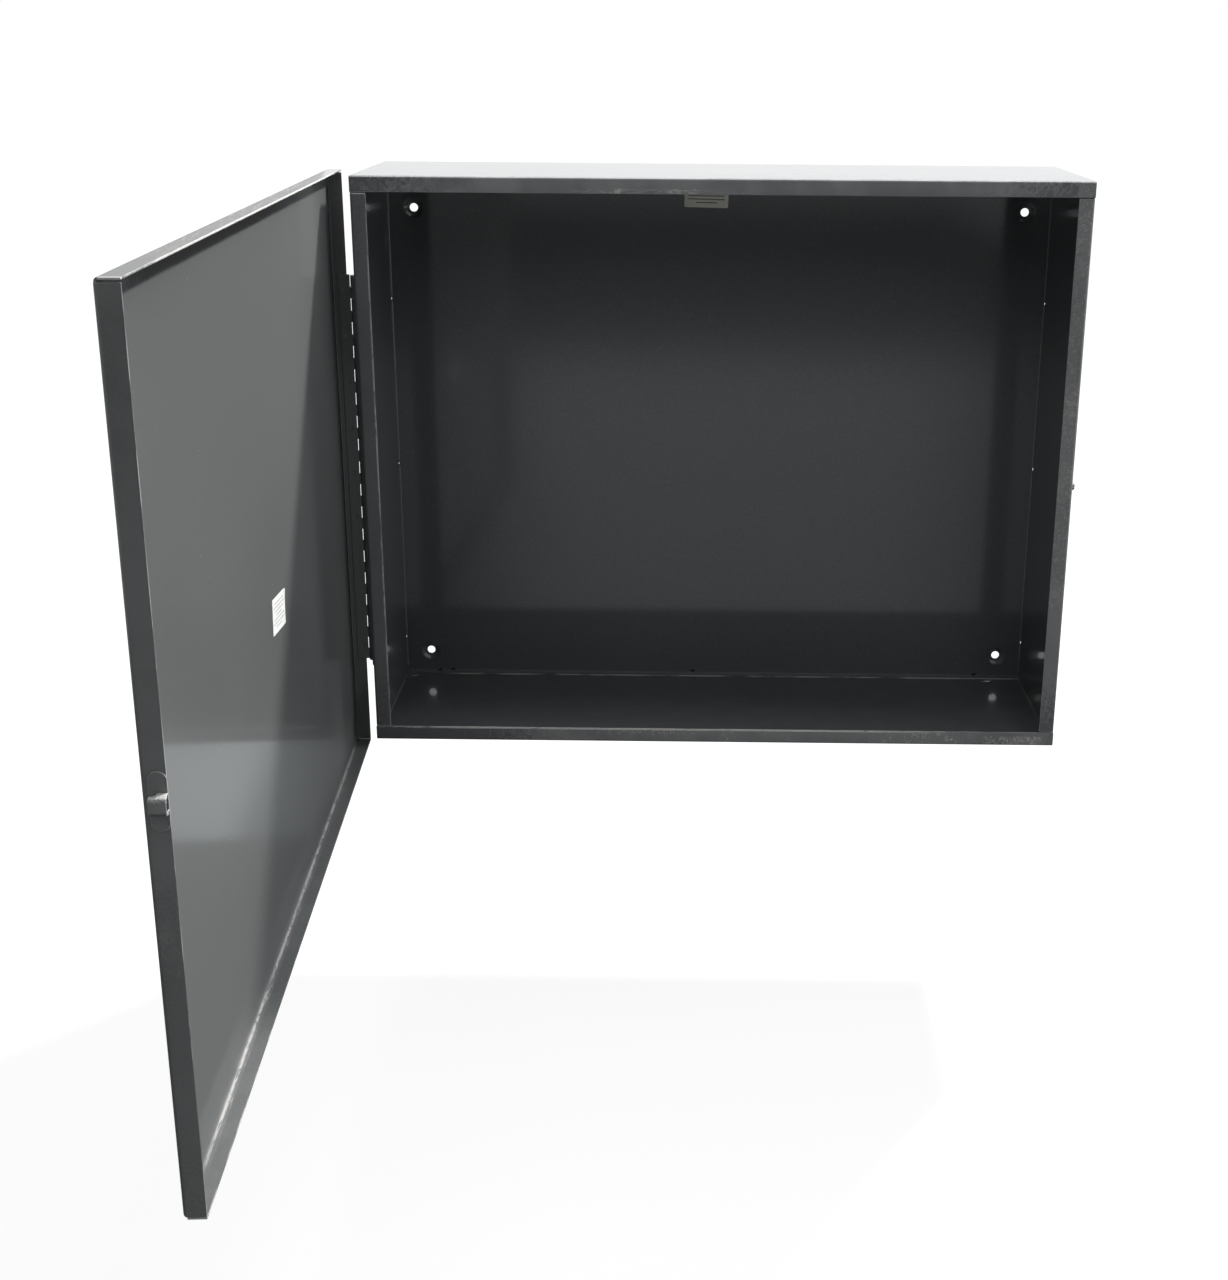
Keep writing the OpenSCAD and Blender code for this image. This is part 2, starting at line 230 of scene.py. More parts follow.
# %% Floor: what the paint mirrors
# Each stretch: where its change starts and ends, then the tone before and after it.
FRONT_END, IN_FRONT = (-4.4, -3.2, 0.12, 1.0), (-3.0, -1.5, 0.84, 0.64)
UNDER_BOX = (-1.15, -0.75, 1.0, 0.18)
FAN_LEFT, FAN_RIGHT = (-0.19, -0.07, 0.2, 1.0), (0.10, 0.23, 1.0, 0.5)
BEHIND, BEHIND_LEFT = (0.155, 0.185, 0.0, 0.48), (-0.21, -0.175, 0.12, 1.0)
FAR_FRONT = (-9.8, -9.2, 0.9, 0.0)
FAR_RIGHT, FAR_LEFT = (1.5, 2.0, 0.0, 0.8), (-2.3, -1.9, 0.5, 0.0)
# The stretch in front fans out from the mirror image of the photograph's camera behind the
# box, so its two sides fit that one view. The pattern stays put when the camera moves.
FAN_X, FAN_Y = EYE.x, -EYE.y

pale = bpy.data.materials.new("pale_floor")
pale.use_nodes = True
tree = pale.node_tree
tree.nodes.clear()
place = put(tree, "ShaderNodeTexCoord").outputs["Object"]
across, depth, _ = put(tree, "ShaderNodeSeparateXYZ", {0: place}).outputs
near = maths(tree, "MULTIPLY", ramp(tree, depth, *IN_FRONT), ramp(tree, depth, *UNDER_BOX))
far = ramp(tree, depth, *FRONT_END)
column = maths(
    tree, "DIVIDE", maths(tree, "SUBTRACT", across, FAN_X), maths(tree, "SUBTRACT", FAN_Y, depth)
)
aside = maths(tree, "MULTIPLY", ramp(tree, column, *FAN_LEFT), ramp(tree, column, *FAN_RIGHT))
behind = ramp(tree, depth, *BEHIND)
behind = maths(tree, "MULTIPLY", behind, ramp(tree, across, *BEHIND_LEFT))
distant = ramp(tree, depth, *FAR_FRONT)
distant = maths(tree, "MAXIMUM", distant, ramp(tree, across, *FAR_RIGHT))
distant = maths(tree, "MAXIMUM", distant, ramp(tree, across, *FAR_LEFT))
mirrored = maths(tree, "MULTIPLY", maths(tree, "MULTIPLY", near, far), aside)
mirrored = maths(tree, "ADD", maths(tree, "ADD", mirrored, behind), distant)
print("mirrored floor has", len(tree.nodes), "nodes")

# %% Floor: what the camera sees
SHADOW_GREY, MIRROR_TINT = (0.13, 0.13, 0.13, 1), (0.93, 0.99, 1.0, 1)
GLOW = (1.2, 3.0, 0.86, 1.0)
rays = put(tree, "ShaderNodeLightPath").outputs
mirror_ray = maths(tree, "MAXIMUM", rays["Is Glossy Ray"], rays["Is Transmission Ray"])
matt = put(tree, "ShaderNodeBsdfDiffuse", {"Color": SHADOW_GREY})
far_off = put(tree, "ShaderNodeVectorMath", {0: place}, operation="LENGTH").outputs["Value"]
glow = maths(tree, "MULTIPLY", rays["Is Camera Ray"], ramp(tree, far_off, *GLOW))
white = put(tree, "ShaderNodeEmission", {"Color": (1, 1, 1, 1), "Strength": glow})
seen = put(tree, "ShaderNodeAddShader", {0: matt.outputs[0], 1: white.outputs[0]})
image = put(tree, "ShaderNodeEmission", {"Color": MIRROR_TINT, "Strength": mirrored})
both = put(tree, "ShaderNodeMixShader", {0: mirror_ray, 1: seen.outputs[0], 2: image.outputs[0]})
underside = put(tree, "ShaderNodeNewGeometry").outputs["Backfacing"]
from_below = maths(tree, "MULTIPLY", underside, rays["Is Camera Ray"])
clear = put(tree, "ShaderNodeBsdfTransparent").outputs[0]
either = put(tree, "ShaderNodeMixShader", {0: from_below, 1: both.outputs[0], 2: clear})
put(tree, "ShaderNodeOutputMaterial", {"Surface": either.outputs[0]})
floor_mesh.materials.append(pale)
print("floor finish", pale.name)

# %% Lamps
def softbox(name, place, aim, size, watts, tint=(1, 1, 1)):
    lamp = bpy.data.lights.new(name, "AREA")
    lamp.shape, lamp.size, lamp.size_y = "RECTANGLE", size[0], size[1]
    lamp.energy, lamp.color = watts, tint
    obj = bpy.data.objects.new(name, lamp)
    obj.location = place
    obj.rotation_euler = (Vector(aim) - Vector(place)).to_track_quat("-Z", "Y").to_euler()
    bpy.context.scene.collection.objects.link(obj)
    return obj


WARM, COOL = (1.0, 0.975, 0.935), (0.97, 0.99, 1.0)
key = softbox("key_behind", (1.4, 1.46, 2.32), (-0.39, -0.5, 0.0), (0.24, 0.24), 236, WARM)
key.visible_glossy = False
softbox("overhead", (0.1, 0.10, 2.1), (0.1, 0.05, 0.0), (1.8, 1.3), 52, COOL)
softbox("rim_low_behind", (0.1, 3.2, 0.75), (0.0, 0.0, 0.3), (2.6, 0.8), 4.0)
bpy.context.scene.view_settings.view_transform = "Standard"

# %% [markdown]
# ## Powder coat
# Powder coat melts into a film with a fine orange peel and now and then a nib of grit.
# Cut edges and folds rub through to a paler primer, and that pale edge is also a painted
# highlight for the glint the edges catch. Faces that are leant against carry short pale
# scuffs, and around them a paler haze that is partly handling and partly painted light.
# Each of these effects is one node group with named inputs, so that the box, the door and
# the hinge can share it, each with its own amounts.

# %% Group: orange peel and cloudiness
peel, peel_in, peel_out = new_group(
    "powder_peel",
    [("Peel", "Float", 300.0), ("Grain", "Float", 1600.0)],
    ["Height", "Cloud", "Fleck"],
)
CLOUD_SCALE, FLECK_SCALE, GRAIN_SHARE = 4.0, 520.0, 0.35
here = put(peel, "ShaderNodeTexCoord").outputs["Object"]
waves = noise(peel, here, peel_in["Peel"], 2.0)
grit = noise(peel, here, peel_in["Grain"], 1.0)
cloud = noise(peel, here, CLOUD_SCALE, 2.0)
height = maths(peel, "ADD", waves, maths(peel, "MULTIPLY", grit, GRAIN_SHARE))
peel.links.new(height, peel_out["Height"])
peel.links.new(cloud, peel_out["Cloud"])
fleck = noise(peel, here, FLECK_SCALE, 1.0)
peel.links.new(ramp(peel, fleck, 0.45, 0.75), peel_out["Fleck"])
print("group", peel.name)

# %% Group: edges rubbed pale, which also paints their highlight
edge_rub_and_glint, rub_in, rub_out = new_group(
    "rubbed_edges_and_glint",
    [("Edge", "Float", 0.0), ("Scale", "Float", 28.0), ("Cover", "Float", 0.5)],
    ["Mask"],
)
RUB_NONE, RUB_SOFTNESS = 0.95, 0.22
here = put(edge_rub_and_glint, "ShaderNodeTexCoord").outputs["Object"]
patches = noise(edge_rub_and_glint, here, rub_in["Scale"], 6.0)
start = maths(edge_rub_and_glint, "SUBTRACT", RUB_NONE, rub_in["Cover"])
bare = ramp(edge_rub_and_glint, patches, start, maths(edge_rub_and_glint, "ADD", start, RUB_SOFTNESS))
edge_rub_and_glint.links.new(maths(edge_rub_and_glint, "MULTIPLY", bare, rub_in["Edge"]), rub_out["Mask"])
print("group", edge_rub_and_glint.name)

# %% Group: short pale scuffs inside a zone, and zone masks for painted light and shade
scuffs_and_light_zones, scuff_in, scuff_out = new_group(
    "scuffs_and_light_zones",
    [("Origin", "Vector", (0, 0, 0)), ("Turn", "Float", 0.0), ("Centre", "Vector", (0, 0, 0)),
     ("Reach", "Vector", (1, 1, 1)), ("Stretch", "Vector", (1, 1, 1)), ("Scale", "Float", 130.0),
     ("Cover", "Float", 0.3), ("Even", "Float", 0.0), ("Ragged", "Float", 0.0)],
    ["Mask", "LitHaze"],
)
BUNCH_SCALE, MARK_NONE, MARK_SOFTNESS, ZONE_CORE = 22.0, 0.82, 0.1, 0.7
here = put(scuffs_and_light_zones, "ShaderNodeTexCoord").outputs["Object"]
here = vectors(scuffs_and_light_zones, "SUBTRACT", here, scuff_in["Origin"])
spec = {"Vector": here, "Angle": scuff_in["Turn"]}
here = put(scuffs_and_light_zones, "ShaderNodeVectorRotate", spec, rotation_type="Z_AXIS").outputs[0]
away = vectors(scuffs_and_light_zones, "SUBTRACT", here, scuff_in["Centre"])
share = vectors(scuffs_and_light_zones, "DIVIDE", away, scuff_in["Reach"])
share = vectors(scuffs_and_light_zones, "ABSOLUTE", share)
axes = put(scuffs_and_light_zones, "ShaderNodeSeparateXYZ", {0: share}).outputs
farthest = maths(scuffs_and_light_zones, "MAXIMUM", maths(scuffs_and_light_zones, "MAXIMUM", axes[0], axes[1]), axes[2])
drawn = vectors(scuffs_and_light_zones, "MULTIPLY", here, scuff_in["Stretch"])
marks = noise(scuffs_and_light_zones, drawn, scuff_in["Scale"], 6.0, Roughness=0.62, Distortion=1.6)
torn = maths(scuffs_and_light_zones, "MULTIPLY", maths(scuffs_and_light_zones, "SUBTRACT", marks, 0.5), scuff_in["Ragged"])
zone = ramp(scuffs_and_light_zones, maths(scuffs_and_light_zones, "ADD", farthest, torn), 1.0, ZONE_CORE)
bunches = noise(scuffs_and_light_zones, here, BUNCH_SCALE, 2.0)
start = maths(scuffs_and_light_zones, "SUBTRACT", MARK_NONE, scuff_in["Cover"])
mark = ramp(scuffs_and_light_zones, marks, start, maths(scuffs_and_light_zones, "ADD", start, MARK_SOFTNESS))
bunch = maths(scuffs_and_light_zones, "MAXIMUM", ramp(scuffs_and_light_zones, bunches, 0.50, 0.58), scuff_in["Even"])
mark = maths(scuffs_and_light_zones, "MULTIPLY", mark, bunch)
scuffs_and_light_zones.links.new(maths(scuffs_and_light_zones, "MULTIPLY", mark, zone), scuff_out["Mask"])
lit_haze = maths(scuffs_and_light_zones, "MULTIPLY", ramp(scuffs_and_light_zones, bunches, 0.3, 0.6, 0.6, 1.0), zone)
scuffs_and_light_zones.links.new(lit_haze, scuff_out["LitHaze"])
print("group", scuffs_and_light_zones.name)

# %% Group: dust on faces that look up
dust, dust_in, dust_out = new_group(
    "settled_dust", [("Amount", "Float", 0.3), ("Scale", "Float", 40.0)], ["Mask"]
)
here = put(dust, "ShaderNodeTexCoord").outputs["Object"]
facing = put(dust, "ShaderNodeNewGeometry").outputs["Normal"]
upward = ramp(dust, put(dust, "ShaderNodeSeparateXYZ", {0: facing}).outputs["Z"], 0.5, 1.0)
drift = noise(dust, here, dust_in["Scale"], 5.0)
laid = maths(dust, "MULTIPLY", upward, ramp(dust, drift, 0.35, 0.75))
dust.links.new(maths(dust, "MULTIPLY", laid, dust_in["Amount"]), dust_out["Mask"])
print("group", dust.name)

# %% Group: nibs of grit under the film
nibs, nib_in, nib_out = new_group(
    "grit_nibs",
    [("Spacing", "Float", 30.0), ("Size", "Float", 0.02), ("Share", "Float", 0.3)],
    ["Mask"],
)
here = put(nibs, "ShaderNodeTexCoord").outputs["Object"]
cells = put(nibs, "ShaderNodeTexVoronoi", {"Vector": here, "Scale": nib_in["Spacing"]})
chance = put(nibs, "ShaderNodeSeparateColor", {0: cells.outputs["Color"]}).outputs[0]
picked = maths(nibs, "LESS_THAN", chance, nib_in["Share"])
core = maths(nibs, "MULTIPLY", nib_in["Size"], 0.4)
spot = ramp(nibs, cells.outputs["Distance"], nib_in["Size"], core)
nibs.links.new(maths(nibs, "MULTIPLY", spot, picked), nib_out["Mask"])
print("group", nibs.name)

# %% [markdown]
# The paint itself keeps its Principled shader in the material. The slate grey is nearly
# neutral. Box and door carry the same paint, but the box's copy is a little darker and bluer:
# that is painted shade for the shaded, bluish inside of the box. The colour is a dull layer,
# and the smooth skin of the film is a clear coat over it: sharp enough to mirror the bright
# wall holes as small dots and the floor as a band, soft enough to lose any finer outline.

# %% Material: slate powder coat
pin_low, pin_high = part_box("hinge_pin")
PIN = Vector(((pin_low.x + pin_high.x) / 2, (pin_low.y + pin_high.y) / 2, 0))
DOOR_OPEN = math.radians(87)
SLATE, SLATE_PALE = (0.104, 0.109, 0.111, 1), (0.112, 0.117, 0.119, 1)
# The box's tone is the door's slate made darker and bluer: painted shade for the box's shaded,
# bluish inside.
SHADED_SLATE, SHADED_SLATE_PALE = (0.086, 0.092, 0.098, 1), (0.093, 0.099, 0.105, 1)
# The seam tone is paler than the box so that the corner fillets read as a light line: a painted
# highlight.
SEAM, SEAM_PALE = (0.155, 0.160, 0.166, 1), (0.18, 0.185, 0.19, 1)
TACK_BLACK, TACK_BLACK_PALE = (0.010, 0.010, 0.011, 1), (0.014, 0.014, 0.015, 1)
# PRIMER_AND_GLINT is the pale of rubbed edges, also pale enough to be a painted highlight for the
# glint on edges.
PRIMER_AND_GLINT, CHALK_AND_HIGHLIGHT, GRIT_AND_SHADOW_BAND = (0.40, 0.41, 0.41, 1), (0.50, 0.495, 0.48, 1), (0.03, 0.03, 0.031, 1)
# HANDLED_AND_LIT is a paler tone for a haze that is partly handling and partly painted light, laid
# where more light falls.
DUST, HANDLED_AND_LIT = (0.24, 0.235, 0.225, 1), (0.225, 0.230, 0.235, 1)
FLECK, SPECK = (0.15, 0.155, 0.16, 1), (0.40, 0.395, 0.38, 1)
FILM_ROUGH, SCUFF_ROUGH, DUST_ROUGH = (0.30, 0.36), 0.2, 0.3
FLECK_SHARE, NIB_RISE = 0.30, 2.0
# GRIT_AND_SHADOW_BAND darkens nibs of grit and is also the dark of the painted shadow band under
# the door's top lip, whose edge is made ragged.
SCUFF_RAGGED, SHADOW_BAND_RAGGED = 0.8, 0.9


def call(tree, group, **inputs):
    return put(tree, "ShaderNodeGroup", inputs, node_tree=group).outputs


def slate_paint(
    name, cover, zones, dusty, nib_share, axes=((0, 0, 0), 0.0), peel_depth=0.03 * MM,
    tones=(SLATE, SLATE_PALE), speck_share=0.0, shadow_bands=(),
):
    """The paint with its own wear and painted light: how much of the edges, which zones, how much
    dust, which bands of painted shade.
    """
    paint = bpy.data.materials.new(name)
    paint.use_nodes = True
    tree = paint.node_tree
    shader = tree.nodes["Principled BSDF"]
    shader.inputs["Specular IOR Level"].default_value = 0.15
    shader.inputs["Coat Weight"].default_value = 0.75
    shader.inputs["Coat Roughness"].default_value = 0.10
    film = call(tree, peel)
    edge = put(tree, "ShaderNodeAttribute", attribute_name="cut_edge").outputs["Fac"]
    worn_and_glint = call(tree, edge_rub_and_glint, Edge=edge, Cover=cover)["Mask"]
    dusted = call(tree, dust, Amount=dusty)["Mask"]
    nib = call(tree, nibs, Share=nib_share)["Mask"]
    colour = tinted(tree, ramp(tree, film["Cloud"], 0.3, 0.7), *tones)
    colour = tinted(tree, maths(tree, "MULTIPLY", film["Fleck"], FLECK_SHARE), colour, FLECK)
    colour = tinted(tree, nib, colour, GRIT_AND_SHADOW_BAND)
    colour = tinted(tree, worn_and_glint, colour, PRIMER_AND_GLINT)
    rough = ramp(tree, film["Cloud"], 0.25, 0.75, *FILM_ROUGH)
    if speck_share:
        speck = call(tree, nibs, Spacing=90.0, Size=0.07, Share=speck_share)["Mask"]
        colour = tinted(tree, speck, colour, SPECK)
    # Painted shade: each band darkens the paint, with a ragged edge, where a lip's shadow falls.
    for centre, reach, stretch, scale, amount in shadow_bands:
        shadow_band_mask = call(
            tree, scuffs_and_light_zones, Origin=axes[0], Turn=axes[1], Centre=centre, Reach=reach,
            Stretch=stretch, Scale=scale, Cover=1.0, Even=1.0, Ragged=SHADOW_BAND_RAGGED,
        )["Mask"]
        colour = tinted(tree, maths(tree, "MULTIPLY", shadow_band_mask, amount), colour, GRIT_AND_SHADOW_BAND)
    # Each zone adds pale scuffs and a paler haze; the haze is partly handling and partly painted
    # light.
    for centre, reach, stretch, scale, amount, lit_haze, strength, even in zones:
        handled_and_lit = call(
            tree, scuffs_and_light_zones, Origin=axes[0], Turn=axes[1], Centre=centre, Reach=reach,
            Stretch=stretch, Scale=scale, Cover=amount, Even=even, Ragged=SCUFF_RAGGED,
        )
        marks_and_highlights = handled_and_lit["Mask"]
        colour = tinted(tree, maths(tree, "MULTIPLY", handled_and_lit["LitHaze"], lit_haze), colour, HANDLED_AND_LIT)
        # CHALK_AND_HIGHLIGHT marks are scuffs, and on the thin edge zones they are painted
        # highlights.
        colour = tinted(tree, maths(tree, "MULTIPLY", marks_and_highlights, strength), colour, CHALK_AND_HIGHLIGHT)
        rough = maths(tree, "ADD", rough, maths(tree, "MULTIPLY", marks_and_highlights, SCUFF_ROUGH))
    colour = tinted(tree, dusted, colour, DUST)
    rough = maths(tree, "ADD", rough, maths(tree, "MULTIPLY", dusted, DUST_ROUGH), clamp=True)
    height = maths(tree, "ADD", film["Height"], maths(tree, "MULTIPLY", nib, NIB_RISE))
    skin = put(tree, "ShaderNodeBump", {"Strength": 1.0, "Distance": peel_depth, "Height": height})
    tree.links.new(colour, shader.inputs["Base Color"])
    tree.links.new(rough, shader.inputs["Roughness"])
    tree.links.new(skin.outputs[0], shader.inputs["Normal"])
    return paint


print("slate tones", SLATE[:3], "door,", SHADED_SLATE[:3], "box")

# %% [markdown]
# Wear sits where hands, tools and the closing door reach, and the same zones also paint
# light: a paler haze where more light falls, and pale lines as painted highlights on edges
# that catch the light. Each zone of it is a small block of space: its centre, its reach to
# each side, the way its marks are drawn out, their scale, how much they cover, how much paler
# the paint is there, partly as handling and partly as painted light, how strong the marks
# are, and how evenly they are spread. The door's zones are measured from the pin as if the
# door stood square to the box, and are then turned to where it stands.

# %% Where the paint is worn, and where light is painted on
FLANGE_Y = -0.202
ROUND, ALONG_X, ALONG_Z = (1.0, 1.0, 1.0), (0.25, 1.0, 1.0), (1.0, 1.0, 0.2)
ALONG_Y, FINE_ALONG_Y = (1.0, 0.22, 1.0), (1.0, 0.12, 1.0)
box_wear_and_light_zones = [
    # The haze column paints light: strong on the top and right flanges and the bottom flange's
    # right part, weak on the left flange and the bottom flange's left end, which the door shades.
    ((0.09, FLANGE_Y, -0.2925), (0.360, 0.004, 0.011), ROUND, 230.0, 0.25, 0.9, 0.9, 0.0),
    ((-0.085, FLANGE_Y, -0.2880), (0.060, 0.004, 0.006), ROUND, 200.0, 0.30, 0.0, 1.0, 0.4),
    ((0.335, FLANGE_Y, -0.2945), (0.040, 0.004, 0.006), ROUND, 230.0, 0.35, 0.0, 0.9, 0.8),
    # Painted highlight, partly wear: the pale line along the bottom flange's upturned edge.
    ((-0.05, FLANGE_Y, -0.2850), (0.330, 0.004, 0.0017), ALONG_X, 160.0, 0.48, 0.5, 1.0, 1.0),
    ((0.372, FLANGE_Y, 0.01), (0.012, 0.004, 0.31), ROUND, 150.0, 0.18, 0.8, 0.5, 0.0),
    ((0.372, FLANGE_Y, 0.10), (0.012, 0.004, 0.32), ROUND, 260.0, 0.31, 0.6, 0.45, 0.7),
    ((-0.371, FLANGE_Y, 0.01), (0.012, 0.004, 0.31), ROUND, 150.0, 0.10, 0.25, 0.5, 0.0),
    ((0.0, FLANGE_Y, 0.314), (0.385, 0.004, 0.012), ROUND, 150.0, 0.15, 1.0, 0.4, 0.0),
    ((-0.060, FLANGE_Y, 0.3095), (0.120, 0.004, 0.003), ALONG_X, 300.0, 0.34, 0.0, 0.9, 0.3),
    # Painted highlights, partly wear: the pale line along the left flange's inner edge and at its
    # top end.
    ((-0.3640, FLANGE_Y, 0.01), (0.0012, 0.004, 0.30), ALONG_Z, 160.0, 0.40, 0.3, 0.6, 1.0),
    ((-0.3715, FLANGE_Y, 0.3051), (0.009, 0.004, 0.0010), ROUND, 160.0, 0.50, 0.3, 0.7, 1.0),
]
door_wear_and_light_zones = [
    ((-0.0226, -0.38, -0.3121), (0.0016, 0.39, 0.0016), ALONG_Y, 240.0, 0.40, 0.4, 0.80, 1.0),
    ((-0.0222, -0.38, -0.3118), (0.0042, 0.39, 0.0036), FINE_ALONG_Y, 700.0, 0.30, 0.3, 0.6, 0.0),
    # The latch lip's haze, paler towards its top, is painted light.
    ((-0.0165, -0.768, 0.0), (0.010, 0.004, 0.33), ROUND, 170.0, 0.17, 0.2, 0.5, 0.0),
    ((-0.0165, -0.768, 0.2), (0.010, 0.004, 0.34), ROUND, 170.0, 0.0, 0.45, 0.0, 0.0),
    ((-0.0160, -0.380, 0.327), (0.010, 0.400, 0.0012), FINE_ALONG_Y, 420.0, 0.28, 0.0, 0.5, 1.0),
    # Painted highlights, partly wear: the pale line on the top lip's edge and the glint at the
    # latch lip's top corner.
    ((-0.0078, -0.380, 0.3265), (0.0014, 0.390, 0.0020), ALONG_Y, 140.0, 0.55, 0.0, 1.0, 1.0),
    ((-0.0165, -0.7687, 0.3262), (0.012, 0.0030, 0.0022), ROUND, 300.0, 0.55, 0.3, 1.0, 1.0),
]
# Painted shadow: a dark ragged band on the door's inner face under its top lip, where the lip's
# shadow falls.
door_lip_shadow_band = [((-0.0222, -0.38, 0.3185), (0.0018, 0.395, 0.0088), ROUND, 110.0, 0.80)]
# Painted highlight on the pull loop: it is made paler towards its top face, which looks up into
# the light.
loop_highlight_zones = [
    ((-0.0126, -0.7790, 0.0030), (0.0080, 0.0020, 0.0080), ROUND, 420.0, 0.10, 1.0, 0.5, 1.0),
    ((-0.0126, -0.7790, 0.0056), (0.0080, 0.0020, 0.0026), ROUND, 420.0, 0.34, 1.0, 0.6, 1.0),
    ((-0.0126, -0.7748, 0.0064), (0.0080, 0.0062, 0.0010), ROUND, 420.0, 0.42, 1.0, 0.9, 1.0),
]
latch_lip_lit_zones = door_wear_and_light_zones[2:4]
print("worn zones", len(box_wear_and_light_zones), "on the box,", len(door_wear_and_light_zones + loop_highlight_zones), "on the door")

# %% Painted finishes
door_axes = (PIN, DOOR_OPEN - math.pi / 2)
# The box's paint uses that darker, bluer tone, which is painted shade.
shaded_box_paint = slate_paint("slate_paint_box_shaded", 0.61, box_wear_and_light_zones, 0.10, 0.16, tones=(SHADED_SLATE, SHADED_SLATE_PALE))
near_black_paint = slate_paint("near_black_paint", 0.0, [], 0.0, 0.0, tones=(TACK_BLACK, TACK_BLACK_PALE))
seam_highlight_paint = slate_paint("slate_paint_seam_highlight", 0.0, [], 0.0, 0.0, tones=(SEAM, SEAM_PALE))
door_paint = slate_paint(
    "slate_paint_door", 0.52, door_wear_and_light_zones, 0.14, 0.12, door_axes, speck_share=0.13, shadow_bands=door_lip_shadow_band
)
# Plate and loop have their edges made pale nearly all round: painted highlight for their lit rims,
# partly wear.
plate_paint = slate_paint("slate_paint_latch_plate", 0.78, latch_lip_lit_zones, 0.2, 0.0, door_axes)
loop_paint = slate_paint("slate_paint_pull_loop", 0.80, loop_highlight_zones, 0.2, 0.0, door_axes)
hinge_paint = slate_paint("slate_paint_hinge", 0.38, [], 0.06, 0.0, peel_depth=0.02 * MM)
print("paints", shaded_box_paint.name, door_paint.name, hinge_paint.name)

# %% [markdown]
# The catch is bare: a turned steel button on a spring leaf, with two rivets. Zinc-plated
# steel is a pale grey metal with fine rolling lines along the strip and a few dull patches.

# %% Material: bare plated steel
ZINC, ZINC_PALE = (0.50, 0.50, 0.49, 1), (0.62, 0.62, 0.61, 1)
ZINC_DULL = (0.36, 0.355, 0.34, 1)


def plated_steel(name, lines, rough):
    steel = bpy.data.materials.new(name)
    steel.use_nodes = True
    tree = steel.node_tree
    shader = tree.nodes["Principled BSDF"]
    shader.inputs["Metallic"].default_value = 1.0
    here = put(tree, "ShaderNodeTexCoord").outputs["Object"]
    drawn = put(tree, "ShaderNodeMapping", {"Vector": here, "Scale": lines}).outputs[0]
    streak = noise(tree, drawn, 900.0, 3.0)
    patch = noise(tree, here, 160.0, 4.0)
    dull = ramp(tree, patch, 0.45, 0.7)
    colour = tinted(tree, ramp(tree, streak, 0.3, 0.7), ZINC, ZINC_PALE)
    tree.links.new(tinted(tree, dull, colour, ZINC_DULL), shader.inputs["Base Color"])
    rough = maths(tree, "ADD", rough, maths(tree, "MULTIPLY", dull, 0.18))
    tree.links.new(rough, shader.inputs["Roughness"])
    skin = put(tree, "ShaderNodeBump", {"Strength": 0.6, "Distance": 0.02 * MM, "Height": streak})
    tree.links.new(skin.outputs[0], shader.inputs["Normal"])
    return steel


spring_steel = plated_steel("rolled_spring_steel", (1.0, 1.0, 0.05), 0.30)
turned_steel = plated_steel("turned_steel", (0.15, 1.0, 1.0), 0.24)
print("steels", spring_steel.name, turned_steel.name)

# %% [markdown]
# ## Folded sheets
# Sheet steel is sheared and folded, so its cut edges are slightly rounded and the paint is
# thinnest there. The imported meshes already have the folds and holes. Building each panel
# anew would repeat the CAD, so a copy of each is merged, its sharp edges are rounded, and
# every face of a rounding or a cut edge is marked in the attribute cut_edge for the paint.

# %% Rounded copies of CAD nodes
SHARP, FOLD, SMOOTH = math.radians(75), math.radians(40), math.radians(55)
FLAT, SAME_PLACE = math.radians(0.5), 1e-6
SHEET = 1.5 * MM


def cut_level(bm, height):
    """Parts every face at one height and gives back what the cut made."""
    everything = bm.verts[:] + bm.edges[:] + bm.faces[:]
    parted = bmesh.ops.bisect_plane(
        bm, geom=everything, plane_co=(0, 0, height), plane_no=(0, 0, 1)
    )
    return parted["geom_cut"]


def merged_copy(node, hole_heights=()):
    """A copy with large flat faces, parted level with each hole's middle."""
    bm = bmesh.new()
    bm.from_mesh(cad_nodes[node].data)
    bmesh.ops.remove_doubles(bm, verts=bm.verts, dist=SAME_PLACE)
    for height in hole_heights:
        for item in cut_level(bm, height):
            if isinstance(item, bmesh.types.BMEdge):
                item.seam = True
    bmesh.ops.dissolve_limit(
        bm, angle_limit=FLAT, verts=bm.verts, edges=bm.edges, delimit={"SEAM"}
    )
    bmesh.ops.dissolve_degenerate(bm, dist=SAME_PLACE, edges=bm.edges)
    return bm


def edges_between(bm, low, high):
    return [e for e in bm.edges if len(e.link_faces) == 2 and low < e.calc_face_angle() <= high]


def round_edges(bm, edges, radius, segments):
    made = bmesh.ops.bevel(
        bm, geom=edges, offset=radius, offset_type="OFFSET", segments=segments, profile=0.5,
        affect="EDGES", clamp_overlap=False, loop_slide=False,
    )
    return made["faces"]


def as_piece(name, bm, paint):
    bmesh.ops.recalc_face_normals(bm, faces=bm.faces)
    mesh = bpy.data.meshes.new(name)
    bm.to_mesh(mesh)
    bm.free()
    mesh.materials.clear()
    mesh.materials.append(paint)
    mesh.polygons.foreach_set("use_smooth", [True] * len(mesh.polygons))
    mesh.set_sharp_from_angle(angle=SMOOTH)
    piece = bpy.data.objects.new(name, mesh)
    bpy.context.scene.collection.objects.link(piece)
    return piece


def settle(piece):
    """Bakes a piece's modifiers into its mesh and says what came out."""
    graph = bpy.context.evaluated_depsgraph_get()
    mesh = bpy.data.meshes.new_from_object(
        piece.evaluated_get(graph), preserve_all_data_layers=True, depsgraph=graph
    )
    piece.modifiers.clear()
    piece.data = mesh
    mesh.name = piece.name
    bm = bmesh.new()
    bm.from_mesh(mesh)
    loose = sum(len(e.link_faces) != 2 for e in bm.edges)
    volume = round(bm.calc_volume() * 1e6, 2)
    print(piece.name, len(mesh.polygons), "faces, open edges", loose, "volume cm3", volume)
    bm.free()
    return piece


